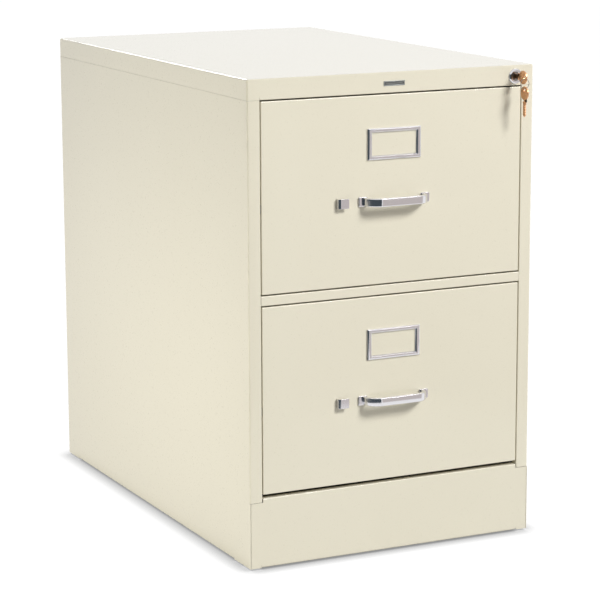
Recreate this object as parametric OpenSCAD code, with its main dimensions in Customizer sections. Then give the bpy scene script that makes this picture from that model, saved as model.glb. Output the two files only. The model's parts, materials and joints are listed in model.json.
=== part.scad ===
// Two-drawer legal-size vertical filing cabinet in folded sheet steel.
// Millimetres. +X is right as seen from the front, the drawers open towards -Y, +Z is up.
// Every module works from the front face at y = 0, and in_frame() moves it to the part's frame,
// whose origin is the middle of the whole object's footprint, on the floor.

/* [Case] */
// Outside width of the case
case_w = 464; // [450:1:490]
// Outside depth of the case, front face to back face
case_d = 740; // [720:1:780]
// Overall height, standing on the glides
case_h = 712; // [700:1:740]
// Thickness of the case sheet
sheet = 0.9; // [0.8:0.1:1.2]
// Width of the stile beside the drawers
stile_w = 19.5; // [18:0.5:24]
// Width of the rear flange of each side panel
rear_flange_w = 15; // [10:1:20]
// Height of the top cap's skirt, which is the header over the upper drawer
skirt_h = 30; // [28:1:34]
// Depth of the skirt's bottom return at the front
skirt_return = 12; // [8:1:14]
// Height of the rail between the two drawers
rail_h = 14; // [10:1:18]
// Depth of that rail's flanges
rail_d = 16; // [12:1:17]
// Width of the seams between the case panels
seam = 0.6; // [0.4:0.1:1]
// Overlap of each side panel behind the top cap's skirt
joggle_h = 18; // [10:1:22]

/* [Base] */
// Gap under the panels, which stand on the glides
glide_show = 3; // [2:0.5:5]
// Radius of a glide's pad
glide_r = 14; // [10:1:16]
// Radius of a glide's stem
glide_stem_r = 4; // [3:0.5:5]
// Height of a glide's stem over the base flange
glide_stem_h = 12; // [6:1:20]
// Distance of the glides from the case's front and back faces
glide_inset_y = 28; // [24:1:30]
// Distance of the glides from the case's sides
glide_inset_x = 40; // [34:1:60]
// Height by which the base panel's tongue stands between the stiles
tongue_h = 7; // [4:1:9]
// Gap between the base panel's tongue and the lower drawer opening's bottom line
tongue_gap = 2.5; // [1.5:0.5:4]
// Depth of the base panel's top flange
base_flange_d = 30; // [20:1:36]
// Depth of the base flanges that carry the glides
glide_flange_d = 46; // [44:1:60]
// Height of the rail along the bottom of the back
rear_rail_h = 60; // [40:1:90]
// Depth of that rail's top flange
rear_rail_d = 24; // [16:1:30]

/* [Frame posts] */
// Thickness of the posts and of the runner members
member_t = 1.2; // [1:0.1:1.5]
// Depth of a post, front to back
post_d = 30; // [24:1:36]
// Distance of the rear posts from the back panel
rear_post_gap = 16; // [10:1:24]
// Height of the stiffener under the top cap
stiffener_h = 20; // [12:1:24]

/* [Drawers] */
// Height of a drawer opening
opening_h = 279; // [270:1:282]
// Gap round a closed drawer front
reveal = 1.5; // [1:0.1:2.5]
// Depth of the hollow drawer front
front_d = 18; // [16:1:19]
// Thickness of the drawer's sheet
drawer_t = 0.8; // [0.7:0.1:1]
// Height of the drawer's sides
side_h = 235; // [200:1:236]
// Height of the drawer's back
drawer_back_h = 120; // [80:1:180]
// Gap between a closed drawer's tray and the back panel
tray_back_gap = 38.2; // [36.2:1:90.2]
// Height of the tray's bottom over the bottom of the opening
tray_lift = 8; // [7:0.5:12]
// Width of the turned-out rim on each drawer side
rim_w = 2.5; // [2:0.5:5]
// Height of the rim's lip
rim_lip = 6; // [4:0.5:10]

/* [Runners] */
// Height of the runner centre line over the bottom of the opening
runner_z = 60; // [40:1:120]
// Clear height inside a runner channel
track_h = 21.6; // [20:0.2:24]
// Width of the flange that runs on the rollers
flange_w = 5.6; // [5.2:0.1:6]
// Gap between the stile and the member that passes it
pass_gap = 0.5; // [0.4:0.1:0.8]
// Sideways gap between runner members
member_gap = 0.6; // [0.5:0.1:0.8]
// Distance from the stile's edge out to the case channel's web
channel_set = 0.8; // [0.8:0.1:2]
// Gap between the rolling flange and the channel's flange over it
flange_drop = 1; // [0.8:0.1:1.4]
// Gap between a roller and what it runs on
roll_gap = 0.3; // [0.3:0.05:0.5]
// Radius of a front roller
front_roller_r = 8; // [6:0.5:8.5]
// Width of a roller
roller_w = 4.8; // [4:0.1:5]
// Radius of a roller's axle
axle_r = 2.5; // [2:0.1:3]
// Radial running clearance of a roller on its axle
axle_play = 0.06; // [0.04:0.01:0.1]
// Gap between a closed drawer's front and its runner members
runner_start = 2; // [1:0.5:4]
// Distance of the case channel's rear end from the back panel
channel_end_gap = 14; // [10:1:20]
// Length of the rubber stop in the rear end of a case channel
stop_len = 12; // [6:1:16]
// Gap between the closed cradle's roller and the rubber stop
stop_gap = 0.3; // [0.3:0.1:1]

/* [Handle] */
// Overall length of the handle, over its feet
handle_len = 116; // [104:1:130]
// How far the handle stands out
handle_reach = 24; // [23:1:34]
// Thickness of the handle's bar at its ridge
bar_t = 7; // [5.5:0.5:9]
// Height of the handle's bar
bar_h = 12.5; // [10:0.5:16]
// Radius of the handle's corners, at the outside
handle_corner_r = 22; // [12:1:22]
// Distance of the handle's centre line under the drawer's top edge
handle_drop = 153; // [120:1:170]
// Thickness of a handle's foot
foot_t = 2.5; // [1.5:0.5:4]
// How far a handle's foot reaches past its leg
foot_out = 7; // [4:0.5:9]
// Margin of a handle's foot over, under and inside its leg
foot_margin = 0.8; // [0.5:0.1:2]
// Radius of a handle screw's shank
screw_r = 2; // [1.5:0.1:2.4]
// Length of a handle screw behind its head
screw_len = 8; // [6:0.5:9]
// Clearance of a screw in its hole
screw_play = 0.05; // [0.05:0.05:0.15]

/* [Label frame] */
// Width of the label frame
label_w = 87; // [70:0.5:110]
// Height of the label frame
label_h = 45.5; // [36:0.5:60]
// Width of the label frame's moulding
label_rim = 9; // [6:0.5:12]
// Height that the moulding stands out
label_t = 3.2; // [2:0.1:5]
// Width of the moulding's flat crest
label_crest = 2; // [1:0.1:4]
// Depth of the slot behind the moulding for a card
card_slot = 1; // [0.6:0.1:1.2]
// Distance of the label frame's centre under the drawer's top edge
label_drop = 71; // [50:1:90]

/* [Thumb latch] */
// Width of the latch's thumb piece
tab_w = 17; // [14:0.5:22]
// Height of the thumb piece
tab_h = 14; // [10:0.5:18]
// How far the thumb piece stands out
tab_reach = 8; // [6:0.5:11]
// Thickness of the thumb piece
tab_t = 1.6; // [1.2:0.1:2]
// Distance from the handle's end to the thumb piece
tab_gap = 18; // [14:1:30]
// How far the latch slides
latch_travel = 9; // [6:0.5:10]
// Height of the latch bar
latch_bar_h = 12; // [8:0.5:13]
// Thickness of the latch bar
latch_bar_t = 2; // [1.5:0.1:2.5]
// Distance of the latch bar behind the front face
latch_bar_y = 3; // [2.8:0.1:5]
// Gap between the latch bolt's tip and the stile
bolt_gap = 0.8; // [0.5:0.1:1]
// Length of the latch bolt
bolt_len = 10; // [8:0.5:14]
// Width of the guides round the latch bar
latch_guide_w = 8; // [6:0.5:10]
// Length of the latch spring at rest
spring_len = 14; // [13:0.5:18]
// Outside radius of the latch spring
spring_r = 3.5; // [2.5:0.1:4]
// Wire thickness of the latch spring
spring_wire = 0.8; // [0.6:0.1:0.9]
// Turns of the latch spring
spring_turns = 4; // [3:1:5]

/* [Follower] */
// Height of the follower plate
follower_h = 190; // [150:1:210]
// Depth of the follower plate's flanges
follower_lip = 12; // [8:1:16]
// Gap between the follower plate and each drawer side
follower_side_gap = 4; // [2:0.5:8]
// Distance of the follower plate from the drawer's back, at rest
follower_back_gap = 34; // [30:1:60]
// How far the follower slides towards the drawer's front
follower_travel = 500; // [300:5:520]
// Width of the slot that guides the follower
guide_slot_w = 8; // [6:0.5:12]
// Length of the follower's foot
follower_foot_len = 40; // [24:1:60]
// Gap between the follower and the drawer's bottom
follower_lift = 0.3; // [0.3:0.1:0.6]
// Length of the follower's catch lever
catch_len = 60; // [40:1:90]
// Width of the follower's catch lever
catch_w = 22; // [16:1:40]
// Radius of the catch lever's pin
catch_pin_r = 2; // [1.5:0.1:2.5]
// Distance of that pin behind the follower plate
catch_pin_out = 7; // [6:0.5:9]
// Height of that pin over the follower's bottom
catch_pin_up = 12; // [10:0.5:20]

/* [Lock] */
// Distance of the lock from the case's right side
lock_inset = 30.5; // [26:0.5:34]
// Distance of the lock under the top of the case
lock_drop = 16.5; // [14:0.5:17]
// Radius of the lock's face ring
lock_ring_r = 11.5; // [10:0.5:12]
// How far the face ring stands out
lock_ring_t = 3.5; // [2:0.5:5]
// Radius of the lock's body
lock_body_r = 9.5; // [8.5:0.5:9.8]
// Thickness of the plug's end wall behind the keyway
plug_wall = 4.2; // [0.8:0.1:5]
// Radius of the turning plug
plug_r = 6.5; // [5.5:0.5:7]
// Radial running clearance of the plug
plug_play = 0.08; // [0.04:0.01:0.1]
// Thickness of the lock nut
lock_nut_t = 4; // [3:0.5:5]
// Radius of the cam's pin circle, which is the lock bar's travel
cam_r = 12; // [11:0.5:13]
// Radius of the cam's pin
cam_pin_r = 2; // [1.5:0.1:2.2]
// Thickness of the cam
cam_t = 2; // [1.5:0.1:2.2]
// Width of the lock bar
lock_bar_w = 12; // [8:0.5:13]
// Thickness of the lock bar
lock_bar_t = 2.5; // [2:0.1:2.6]
// Thickness of the lock bar's lugs, along the height
lug_h = 8; // [5:0.5:9]
// Gap round a lug, to the drawer's rim and in its hook
lug_gap = 1.4; // [1:0.1:2]
// Thickness of a lock hook
hook_t = 1.5; // [1.2:0.1:2]
// Distance of a lock hook under the drawer's top edge
hook_drop = 46; // [44:1:60]
// Clearance between a sliding bar and its guides
guide_gap = 0.3; // [0.3:0.05:0.6]
// Wall of the lock bar's guides
guide_wall = 1.2; // [1:0.1:1.6]

/* [Keys] */
// Length of a key's bow, along the key
bow_len = 20; // [18:0.5:26]
// Height of a key's bow
bow_h = 20; // [16:0.5:22]
// Length of a key's neck, between its bow and its shoulder
neck_len = 4; // [2:0.5:8]
// Width of a key's neck
neck_w = 10; // [8:0.5:12]
// Thickness of a key
key_t = 2; // [1.6:0.1:2.4]
// Width of a key's blade
blade_w = 6; // [5:0.2:7]
// Length of a key's blade, from its shoulder to its tip
blade_len = 21; // [18:0.5:22]
// Gap between the key's shoulder and the plug's face
key_gap = 4.5; // [0.5:0.1:6]
// Clearance of the blade in the keyway
keyway_gap = 0.3; // [0.3:0.05:0.4]
// Radius of the hole in a key's bow
bow_hole_r = 2.6; // [2.2:0.1:3]
// Distance from the hole's centre to the bow's end
bow_hole_in = 5; // [4.5:0.1:6]
// Radius of the key ring, to the middle of its wire
ring_r = 7; // [6:0.5:9]
// Thickness of the key ring's wire
ring_wire = 1.2; // [0.8:0.1:1.4]
// Gap between the ring and the edge of the hole that it hangs in
ring_gap = 0.3; // [0.2:0.05:0.5]

/* [Badge] */
// Width of the plain badge plate
badge_w = 34; // [24:1:50]
// Height of the plain badge plate
badge_h = 7; // [5:0.5:12]
// Thickness of the plain badge plate
badge_t = 0.8; // [0.5:0.1:1.5]

/* [Hidden] */
$fn = 48;

// Colours
paint = [0.89, 0.87, 0.79];
top_paint = [0.93, 0.92, 0.90];
zinc = [0.70, 0.71, 0.72];
chrome = [0.80, 0.81, 0.83];
nylon = [0.92, 0.91, 0.87];
rubber = [0.12, 0.12, 0.12];
brass = [0.72, 0.50, 0.33];
spring_steel = [0.45, 0.46, 0.48];

// Heights of the two openings, bottom lines first
header_z = case_h - skirt_h;
upper_z = header_z - opening_h;
lower_z = upper_z - rail_h - opening_h;
base_tongue_z = lower_z - tongue_gap;
base_shoulder_z = base_tongue_z - tongue_h;

// Sideways stack on each side, from the opening's edge inwards
case_x = case_w / 2;
open_x = case_x - stile_w;
front_x = open_x - reveal;
channel_x = open_x + channel_set;
post_x = channel_x + member_t;
post_out_x = case_x - sheet;
cradle_tip_x = open_x - pass_gap;
cradle_out_x = cradle_tip_x - flange_w;
cradle_in_x = cradle_out_x - member_t;
runner_tip_x = cradle_in_x - member_gap;
runner_out_x = runner_tip_x - flange_w;
tray_out_x = runner_out_x - member_t;
tray_in_x = tray_out_x - drawer_t;

// Keys and lock, front to back
shoulder_y = -lock_ring_t - key_gap;
keyway_end = shoulder_y + blade_len + keyway_gap;
lock_body_len = keyway_end + plug_wall;
cam_y = lock_body_len + 1;
lock_bar_y = cam_y + cam_t + 0.5;
hook_y = lock_bar_y + lock_bar_t + 1;
post_y = lock_bar_y + lock_bar_t + guide_gap + guide_wall;

// Front to back
back_y = case_d - 2 * sheet;
run_y = front_d + runner_start;
channel_end_y = back_y - channel_end_gap;
stop_y = channel_end_y - stop_len;
rear_roller_r = track_h / 2 - roll_gap;
cradle_roller_y = stop_y - stop_gap - rear_roller_r;
cradle_end_y = cradle_roller_y + rear_roller_r;
tray_end_y = back_y - tray_back_gap;
drawer_roller_y = tray_end_y - rear_roller_r;
front_roller_y = run_y + front_roller_r + 1;
rear_post_y = back_y - rear_post_gap - post_d;

// Runner section, over the runner's centre line
member_h = track_h + 2 * member_t;
flange_top = track_h / 2 - flange_drop;
front_roller_lift = flange_top - member_t - roll_gap - front_roller_r;

// Drawer front
front_h = opening_h - 2 * reveal;

// Follower, with its slot in the tray's bottom
follower_y = tray_end_y - follower_back_gap;
slot_spare = 2;
slot_start_y = follower_y - follower_foot_len - follower_travel - slot_spare;
slot_end_y = follower_y + slot_spare;

// Handle and latch
handle_leg_out_x = handle_len / 2 - foot_out;
handle_leg_x = handle_leg_out_x - bar_t / 2;
corner_x = handle_leg_out_x - handle_corner_r;
corner_y = handle_corner_r - handle_reach;
tab_left = -handle_len / 2 - tab_gap - tab_w;
latch_tail_x = tab_left + tab_w + 5;
bolt_root_x = -open_x + bolt_gap + bolt_len;
latch_guide_x = [bolt_root_x + latch_travel + latch_guide_w, tab_left - 2 * latch_guide_w];

// Lock
lock_x = case_x - lock_inset;
lock_z = case_h - lock_drop;
lock_bar_x = post_x + 0.5;
lock_bar_top = lock_z + cam_pin_r + guide_gap + 3;
lug_tip_x = tray_out_x + rim_w + lug_gap;

// Keys and their ring, which hangs on the edges of the bows' holes
hole_y = shoulder_y - neck_len - bow_len + bow_hole_in;
ring_hang = bow_hole_r - ring_wire / 2 - ring_gap;
ring_z = lock_z - ring_hang - ring_r;
spare_z = ring_z - ring_r - ring_hang;

// The part's own frame: the origin is the middle of the footprint, handles and keys included
front_reach = max(handle_reach, bow_h / 2 - hole_y);
front_y = (front_reach - case_d) / 2;

module in_frame() translate([0, front_y, 0]) children();

module both_sides() {
    children();
    mirror([1, 0, 0]) children();
}

// A box from its lowest and highest corners
module box(a, b) translate(a) cube([b[0] - a[0], b[1] - a[1], b[2] - a[2]]);

// An outline drawn in X and Z, run from y0 to y1
module along_y(y0, y1) translate([0, y1, 0]) rotate([90, 0, 0]) linear_extrude(y1 - y0) children();

// A round bar along X, and one along Y
module round_x(r, x0, x1, y, z) translate([x0, y, z]) rotate([0, 90, 0]) cylinder(r = r, h = x1 - x0);
module round_y(r, y0, y1, x, z) translate([x, y1, z]) rotate([90, 0, 0]) cylinder(r = r, h = y1 - y0);

// A ring along X, such as a roller
module ring_x(r, bore, x0, x1, y, z) {
    difference() {
        round_x(r, x0, x1, y, z);
        round_x(bore, x0 - 1, x1 + 1, y, z);
    }
}

// --- Case ---

module side_panel() {
    in_frame() color(paint) {
        box([case_x - sheet, 0, glide_show], [case_x, case_d, header_z - seam]);
        box([open_x, 0, base_shoulder_z + seam], [case_x, sheet, header_z - seam]);
        box([case_x - rear_flange_w, case_d - sheet, glide_show],
            [case_x, case_d, header_z - seam]);
        // joggled edge behind the cap's skirt, between the posts
        box([case_x - 2 * sheet, post_y + post_d + 2, header_z - joggle_h],
            [case_x - sheet, rear_post_y - 2, header_z + joggle_h]);
        box([case_x - rear_flange_w, post_y + post_d + 2, glide_show],
            [case_x, rear_post_y - 2, glide_show + sheet]);
    }
}

module side_panel_left() mirror([1, 0, 0]) side_panel();

module side_panel_right() side_panel();

module top_panel() {
    in_frame() color(top_paint) {
        difference() {
            box([-case_x, 0, header_z], [case_x, case_d, case_h]);
            box([-case_x + sheet, sheet, header_z - 1], [case_x - sheet, case_d - sheet, case_h - sheet]);
            round_y(lock_body_r + screw_play, -1, sheet + 1, lock_x, lock_z);
        }
        box([-open_x, sheet, header_z], [open_x, skirt_return, header_z + sheet]);
    }
}

module back_panel() {
    in_frame() color(paint)
        box([-post_out_x, back_y, glide_show], [post_out_x, case_d - sheet, case_h - sheet]);
}

module base_front_panel() {
    tongue_x = open_x - seam;
    flange_x = post_x - seam;
    in_frame() color(paint) {
        box([-post_out_x + seam, 0, glide_show], [post_out_x - seam, sheet, base_shoulder_z]);
        box([-tongue_x, 0, base_shoulder_z], [tongue_x, sheet, base_tongue_z]);
        box([-tongue_x, sheet, base_tongue_z - sheet], [tongue_x, base_flange_d, base_tongue_z]);
        difference() {
            box([-flange_x, sheet, glide_show], [flange_x, glide_flange_d, glide_show + sheet]);
            for (s = [-1, 1]) translate([s * (case_x - glide_inset_x), glide_inset_y, 0])
                cylinder(r = glide_stem_r + screw_play, h = glide_show + 2 * sheet);
        }
    }
}

module base_rear_rail() {
    rail_x = post_x - seam;
    in_frame() color(paint) {
        box([-rail_x, back_y - sheet, glide_show], [rail_x, back_y, glide_show + rear_rail_h]);
        difference() {
            box([-rail_x, back_y - glide_flange_d, glide_show],
                [rail_x, back_y - sheet, glide_show + sheet]);
            for (s = [-1, 1]) translate([s * (case_x - glide_inset_x), case_d - glide_inset_y, 0])
                cylinder(r = glide_stem_r + screw_play, h = glide_show + 2 * sheet);
        }
        box([-rail_x, back_y - rear_rail_d, glide_show + rear_rail_h - sheet],
            [rail_x, back_y - sheet, glide_show + rear_rail_h]);
    }
}

module divider_rail() {
    web_x = open_x - seam / 2;
    in_frame() color(paint) {
        box([-web_x, 0, upper_z - rail_h], [web_x, sheet, upper_z]);
        for (z = [upper_z - rail_h, upper_z - sheet])
            box([-web_x, sheet, z], [web_x, rail_d, z + sheet]);
        // tabs welded to the backs of the stiles
        both_sides() box([web_x - 6, sheet, upper_z - rail_h + sheet],
                         [web_x + rear_flange_w, sheet + member_t, upper_z - sheet]);
    }
}

module top_stiffener() {
    z0 = case_h - sheet - stiffener_h;
    in_frame() color(zinc) {
        box([-post_x, post_y, z0], [post_x, post_y + member_t, case_h - sheet]);
        box([-post_x, post_y + member_t, z0], [post_x, post_y + post_d, z0 + member_t]);
    }
}

// A post is a channel that opens to the middle of the case's side
module post(y) {
    both_sides() difference() {
        box([post_x, y, glide_show], [post_out_x, y + post_d, case_h - sheet]);
        box([post_x + member_t, y + member_t, 0], [case_x, y + post_d - member_t, case_h]);
    }
}

module front_posts() in_frame() color(zinc) post(post_y);

module rear_posts() in_frame() color(zinc) post(rear_post_y);

module floor_glides() {
    in_frame() color(nylon)
        for (s = [-1, 1], y = [glide_inset_y, case_d - glide_inset_y])
            translate([s * (case_x - glide_inset_x), y, 0]) {
                cylinder(r = glide_r, h = glide_show);
                cylinder(r = glide_stem_r, h = glide_show + sheet + glide_stem_h);
            }
}

module lock_bar_guides() {
    guide_h = 14;
    out_x = lock_bar_x + lock_bar_w + guide_gap;
    in_frame() color(nylon)
        for (z = [upper_z + 20, upper_z + opening_h / 2])
            difference() {
                box([post_x, lock_bar_y - guide_gap - guide_wall, z], [out_x + 1.5, post_y, z + guide_h]);
                box([post_x - 1, lock_bar_y - guide_gap, z - 1],
                    [out_x, lock_bar_y + lock_bar_t + guide_gap, z + guide_h + 1]);
            }
}

// --- Runners. base_z is the bottom line of the opening that the runner serves ---

module channel_section(web_out, flange_in) {
    // a channel open towards the drawer, drawn in X and Z
    difference() {
        translate([flange_in, -member_h / 2]) square([web_out - flange_in, member_h]);
        translate([flange_in - 1, -track_h / 2]) square([web_out - member_t - flange_in + 1, track_h]);
    }
}

module case_channels(base_z) {
    z = base_z + runner_z;
    in_frame() color(zinc) both_sides() {
        translate([0, 0, z]) along_y(run_y, channel_end_y)
            channel_section(post_x, cradle_out_x + member_gap);
        round_x(axle_r, cradle_out_x + member_gap, channel_x + 0.1, front_roller_y, z + front_roller_lift);
    }
}

module upper_case_channels() case_channels(upper_z);

module lower_case_channels() case_channels(lower_z);

module case_rollers(base_z) {
    in_frame() color(nylon) both_sides()
        ring_x(front_roller_r, axle_r + axle_play,
               cradle_out_x + roll_gap, cradle_out_x + roll_gap + roller_w,
               front_roller_y, base_z + runner_z + front_roller_lift);
}

module upper_case_rollers() case_rollers(upper_z);

module lower_case_rollers() case_rollers(lower_z);

module channel_stops() {
    in_frame() color(rubber) both_sides()
        for (base_z = [lower_z, upper_z])
            box([cradle_out_x + member_gap, stop_y, base_z + runner_z - track_h / 2],
                [channel_x, channel_end_y, base_z + runner_z + track_h / 2]);
}

// The middle member: a channel for the drawer's rollers, and a flange outside that runs in the case
module cradles(base_z) {
    z = base_z + runner_z;
    flange_end = cradle_roller_y - rear_roller_r - 2;
    in_frame() color(zinc) both_sides() {
        translate([0, 0, z]) along_y(run_y, cradle_end_y)
            channel_section(cradle_out_x, runner_out_x + member_gap);
        box([cradle_out_x - 0.1, run_y, z + flange_top - member_t],
            [cradle_tip_x, flange_end, z + flange_top]);
        round_x(axle_r, cradle_out_x - 0.1, cradle_tip_x, cradle_roller_y, z);
        round_x(axle_r, cradle_in_x - roller_w - roll_gap, cradle_in_x + 0.1,
                front_roller_y, z + front_roller_lift);
    }
}

module upper_cradles() cradles(upper_z);

module lower_cradles() cradles(lower_z);

module cradle_rear_rollers(base_z) {
    in_frame() color(nylon) both_sides()
        ring_x(rear_roller_r, axle_r + axle_play,
               cradle_out_x + roll_gap, cradle_out_x + roll_gap + roller_w,
               cradle_roller_y, base_z + runner_z);
}

module upper_cradle_rear_rollers() cradle_rear_rollers(upper_z);

module lower_cradle_rear_rollers() cradle_rear_rollers(lower_z);

module cradle_front_rollers(base_z) {
    in_frame() color(nylon) both_sides()
        ring_x(front_roller_r, axle_r + axle_play,
               cradle_in_x - roll_gap - roller_w, cradle_in_x - roll_gap,
               front_roller_y, base_z + runner_z + front_roller_lift);
}

module upper_cradle_front_rollers() cradle_front_rollers(upper_z);

module lower_cradle_front_rollers() cradle_front_rollers(lower_z);

// The drawer's own member: a strip on the tray's side with a flange on top
module runners(base_z) {
    z = base_z + runner_z;
    flange_end = drawer_roller_y - rear_roller_r - 2;
    in_frame() color(zinc) both_sides() {
        box([tray_out_x, run_y, z - track_h / 2], [runner_out_x, tray_end_y, z + flange_top]);
        box([runner_out_x - 0.1, run_y, z + flange_top - member_t],
            [runner_tip_x, flange_end, z + flange_top]);
        round_x(axle_r, runner_out_x - 0.1, runner_tip_x - 0.1, drawer_roller_y, z);
    }
}

module upper_runners() runners(upper_z);

module lower_runners() runners(lower_z);

module drawer_rollers(base_z) {
    in_frame() color(nylon) both_sides()
        ring_x(rear_roller_r, axle_r + axle_play,
               runner_out_x + roll_gap, runner_out_x + roll_gap + roller_w,
               drawer_roller_y, base_z + runner_z);
}

module upper_drawer_rollers() drawer_rollers(upper_z);

module lower_drawer_rollers() drawer_rollers(lower_z);

// --- Drawers ---

module drawer_front(base_z) {
    z0 = base_z + reveal;
    z1 = z0 + front_h;
    handle_z = z1 - handle_drop;
    slot_h = latch_bar_h - 3;
    in_frame() color(paint) difference() {
        box([-front_x, 0, z0], [front_x, front_d, z1]);
        box([-front_x + drawer_t, drawer_t, z0 + drawer_t],
            [front_x - drawer_t, front_d + 1, z1 - drawer_t]);
        // holes for the handle's screws, the thumb piece's stem and the latch bolt
        for (s = [-1, 1])
            round_y(screw_r + screw_play, -1, drawer_t + 1, s * handle_leg_x, handle_z);
        box([tab_left + 0.5, -1, handle_z - slot_h / 2],
            [tab_left + 6 + latch_travel, drawer_t + 1, handle_z + slot_h / 2]);
        box([-front_x - 1, latch_bar_y - 1, handle_z - latch_bar_h / 2 - 1],
            [-front_x + drawer_t + 1, latch_bar_y + 6, handle_z + latch_bar_h / 2 + 1]);
    }
}

module upper_drawer_front() drawer_front(upper_z);

module lower_drawer_front() drawer_front(lower_z);

module inner_panel(base_z) {
    z0 = base_z + reveal + drawer_t;
    z1 = base_z + reveal + front_h - drawer_t;
    handle_z = z1 + drawer_t - handle_drop;
    hook_z = z1 + drawer_t - hook_drop;
    in_x = front_x - drawer_t;
    hook_x = front_x - 2;
    hook_floor_z = hook_z - lug_gap;
    slot_h = latch_bar_h + 2 * guide_gap;
    spring_end = latch_tail_x + spring_len;
    in_frame() color(paint) {
        box([-in_x, front_d - drawer_t, z0], [in_x, front_d, z1]);
        // guides round the latch bar
        for (x = latch_guide_x) difference() {
            box([x - latch_guide_w / 2, latch_bar_y - guide_gap - drawer_t, handle_z - slot_h / 2 - 2],
                [x + latch_guide_w / 2, front_d - drawer_t / 2, handle_z + slot_h / 2 + 2]);
            box([x - latch_guide_w, latch_bar_y - guide_gap, handle_z - slot_h / 2],
                [x + latch_guide_w, latch_bar_y + latch_bar_t + guide_gap, handle_z + slot_h / 2]);
        }
        // abutment of the latch spring
        box([spring_end, drawer_t + 1, handle_z - spring_r - 1],
            [spring_end + hook_t, front_d - drawer_t / 2, handle_z + spring_r + 1]);
        // hook that the lock bar's lug drops into
        box([lug_tip_x, front_d - drawer_t / 2, hook_floor_z - hook_t],
            [hook_x, hook_y + hook_t, hook_floor_z]);
        box([lug_tip_x, hook_y, hook_floor_z - hook_t],
            [hook_x, hook_y + hook_t, hook_z + cam_r - lug_gap]);
    }
}

module upper_inner_panel() inner_panel(upper_z);

module lower_inner_panel() inner_panel(lower_z);

module tray(base_z) {
    z0 = base_z + tray_lift;
    z1 = z0 + side_h;
    in_frame() color(paint) {
        difference() {
            along_y(front_d, tray_end_y) difference() {
                translate([-tray_out_x, z0]) square([2 * tray_out_x, side_h]);
                translate([-tray_in_x, z0 + drawer_t]) square([2 * tray_in_x, side_h]);
            }
            box([-guide_slot_w / 2, slot_start_y, z0 - 1],
                [guide_slot_w / 2, slot_end_y, z0 + drawer_t + 1]);
        }
        both_sides() {
            // turned-out rim that hanging folders ride on
            box([tray_out_x - drawer_t, front_d, z1 - drawer_t], [tray_out_x + rim_w, tray_end_y, z1]);
            box([tray_out_x + rim_w - drawer_t, front_d, z1 - rim_lip],
                [tray_out_x + rim_w, tray_end_y, z1]);
        }
    }
}

module upper_tray() tray(upper_z);

module lower_tray() tray(lower_z);

module drawer_back(base_z) {
    z0 = base_z + tray_lift + drawer_t;
    in_frame() color(paint) {
        box([-tray_in_x, tray_end_y - drawer_t, z0], [tray_in_x, tray_end_y, z0 + drawer_back_h]);
        box([-tray_in_x, tray_end_y - 8, z0 + drawer_back_h - drawer_t],
            [tray_in_x, tray_end_y - drawer_t, z0 + drawer_back_h]);
    }
}

module upper_drawer_back() drawer_back(upper_z);

module lower_drawer_back() drawer_back(lower_z);

// The handle's section, measured from the corner's centre outwards: a ridge with two facets
module handle_section() {
    r0 = handle_corner_r - bar_t;
    polygon([[r0, -bar_h / 2 + 1.5], [r0 + 1.5, -bar_h / 2], [r0 + bar_t - 2.5, -bar_h / 2],
             [handle_corner_r - 0.6, 0], [handle_corner_r, 1.2], [handle_corner_r - 0.6, 2.2],
             [r0 + bar_t - 3.2, bar_h / 2], [r0 + 1.5, bar_h / 2], [r0, bar_h / 2 - 1.5]]);
}

module handle(base_z) {
    handle_z = base_z + reveal + front_h - handle_drop;
    foot_h = bar_h + 2 * foot_margin;
    in_frame() color(chrome) translate([0, 0, handle_z]) difference() {
        union() {
            translate([-corner_x, corner_y, 0]) rotate([90, 0, 90]) linear_extrude(2 * corner_x)
                mirror([1, 0]) handle_section();
            both_sides() {
                translate([corner_x, corner_y, 0]) rotate([0, 0, -90]) rotate_extrude(angle = 90)
                    handle_section();
                translate([corner_x, 0, 0]) rotate([90, 0, 0]) linear_extrude(-corner_y)
                    handle_section();
                box([handle_leg_out_x - bar_t - foot_margin, -foot_t, -foot_h / 2],
                    [handle_len / 2, 0, foot_h / 2]);
            }
        }
        both_sides() round_y(screw_r + screw_play, -screw_len, 1, handle_leg_x, 0);
    }
}

module upper_handle() handle(upper_z);

module lower_handle() handle(lower_z);

module handle_screws(base_z) {
    handle_z = base_z + reveal + front_h - handle_drop;
    head_y = drawer_t + 2.4;
    slot_l = 6;
    slot_w = 1;
    in_frame() color(zinc) both_sides() difference() {
        union() {
            round_y(screw_r, 0.5 - screw_len, drawer_t + 1, handle_leg_x, handle_z);
            round_y(2 * screw_r, drawer_t, head_y, handle_leg_x, handle_z);
        }
        box([handle_leg_x - slot_l / 2, head_y - 1, handle_z - slot_w / 2],
            [handle_leg_x + slot_l / 2, head_y + 1, handle_z + slot_w / 2]);
    }
}

module upper_handle_screws() handle_screws(upper_z);

module lower_handle_screws() handle_screws(lower_z);

// A block with four sloping sides, from a large face at y = 0 to a small one at y = -t
module sloped_block(w, h, slope, t) {
    intersection() {
        translate([-w / 2 - 1, 0, -h / 2]) rotate([90, 0, 90]) linear_extrude(w + 2)
            polygon([[0, 0], [0, h], [-t, h - slope], [-t, slope]]);
        translate([0, 0, -h / 2 - 1]) linear_extrude(h + 2)
            polygon([[-w / 2, 0], [w / 2, 0], [w / 2 - slope, -t], [slope - w / 2, -t]]);
    }
}

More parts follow.
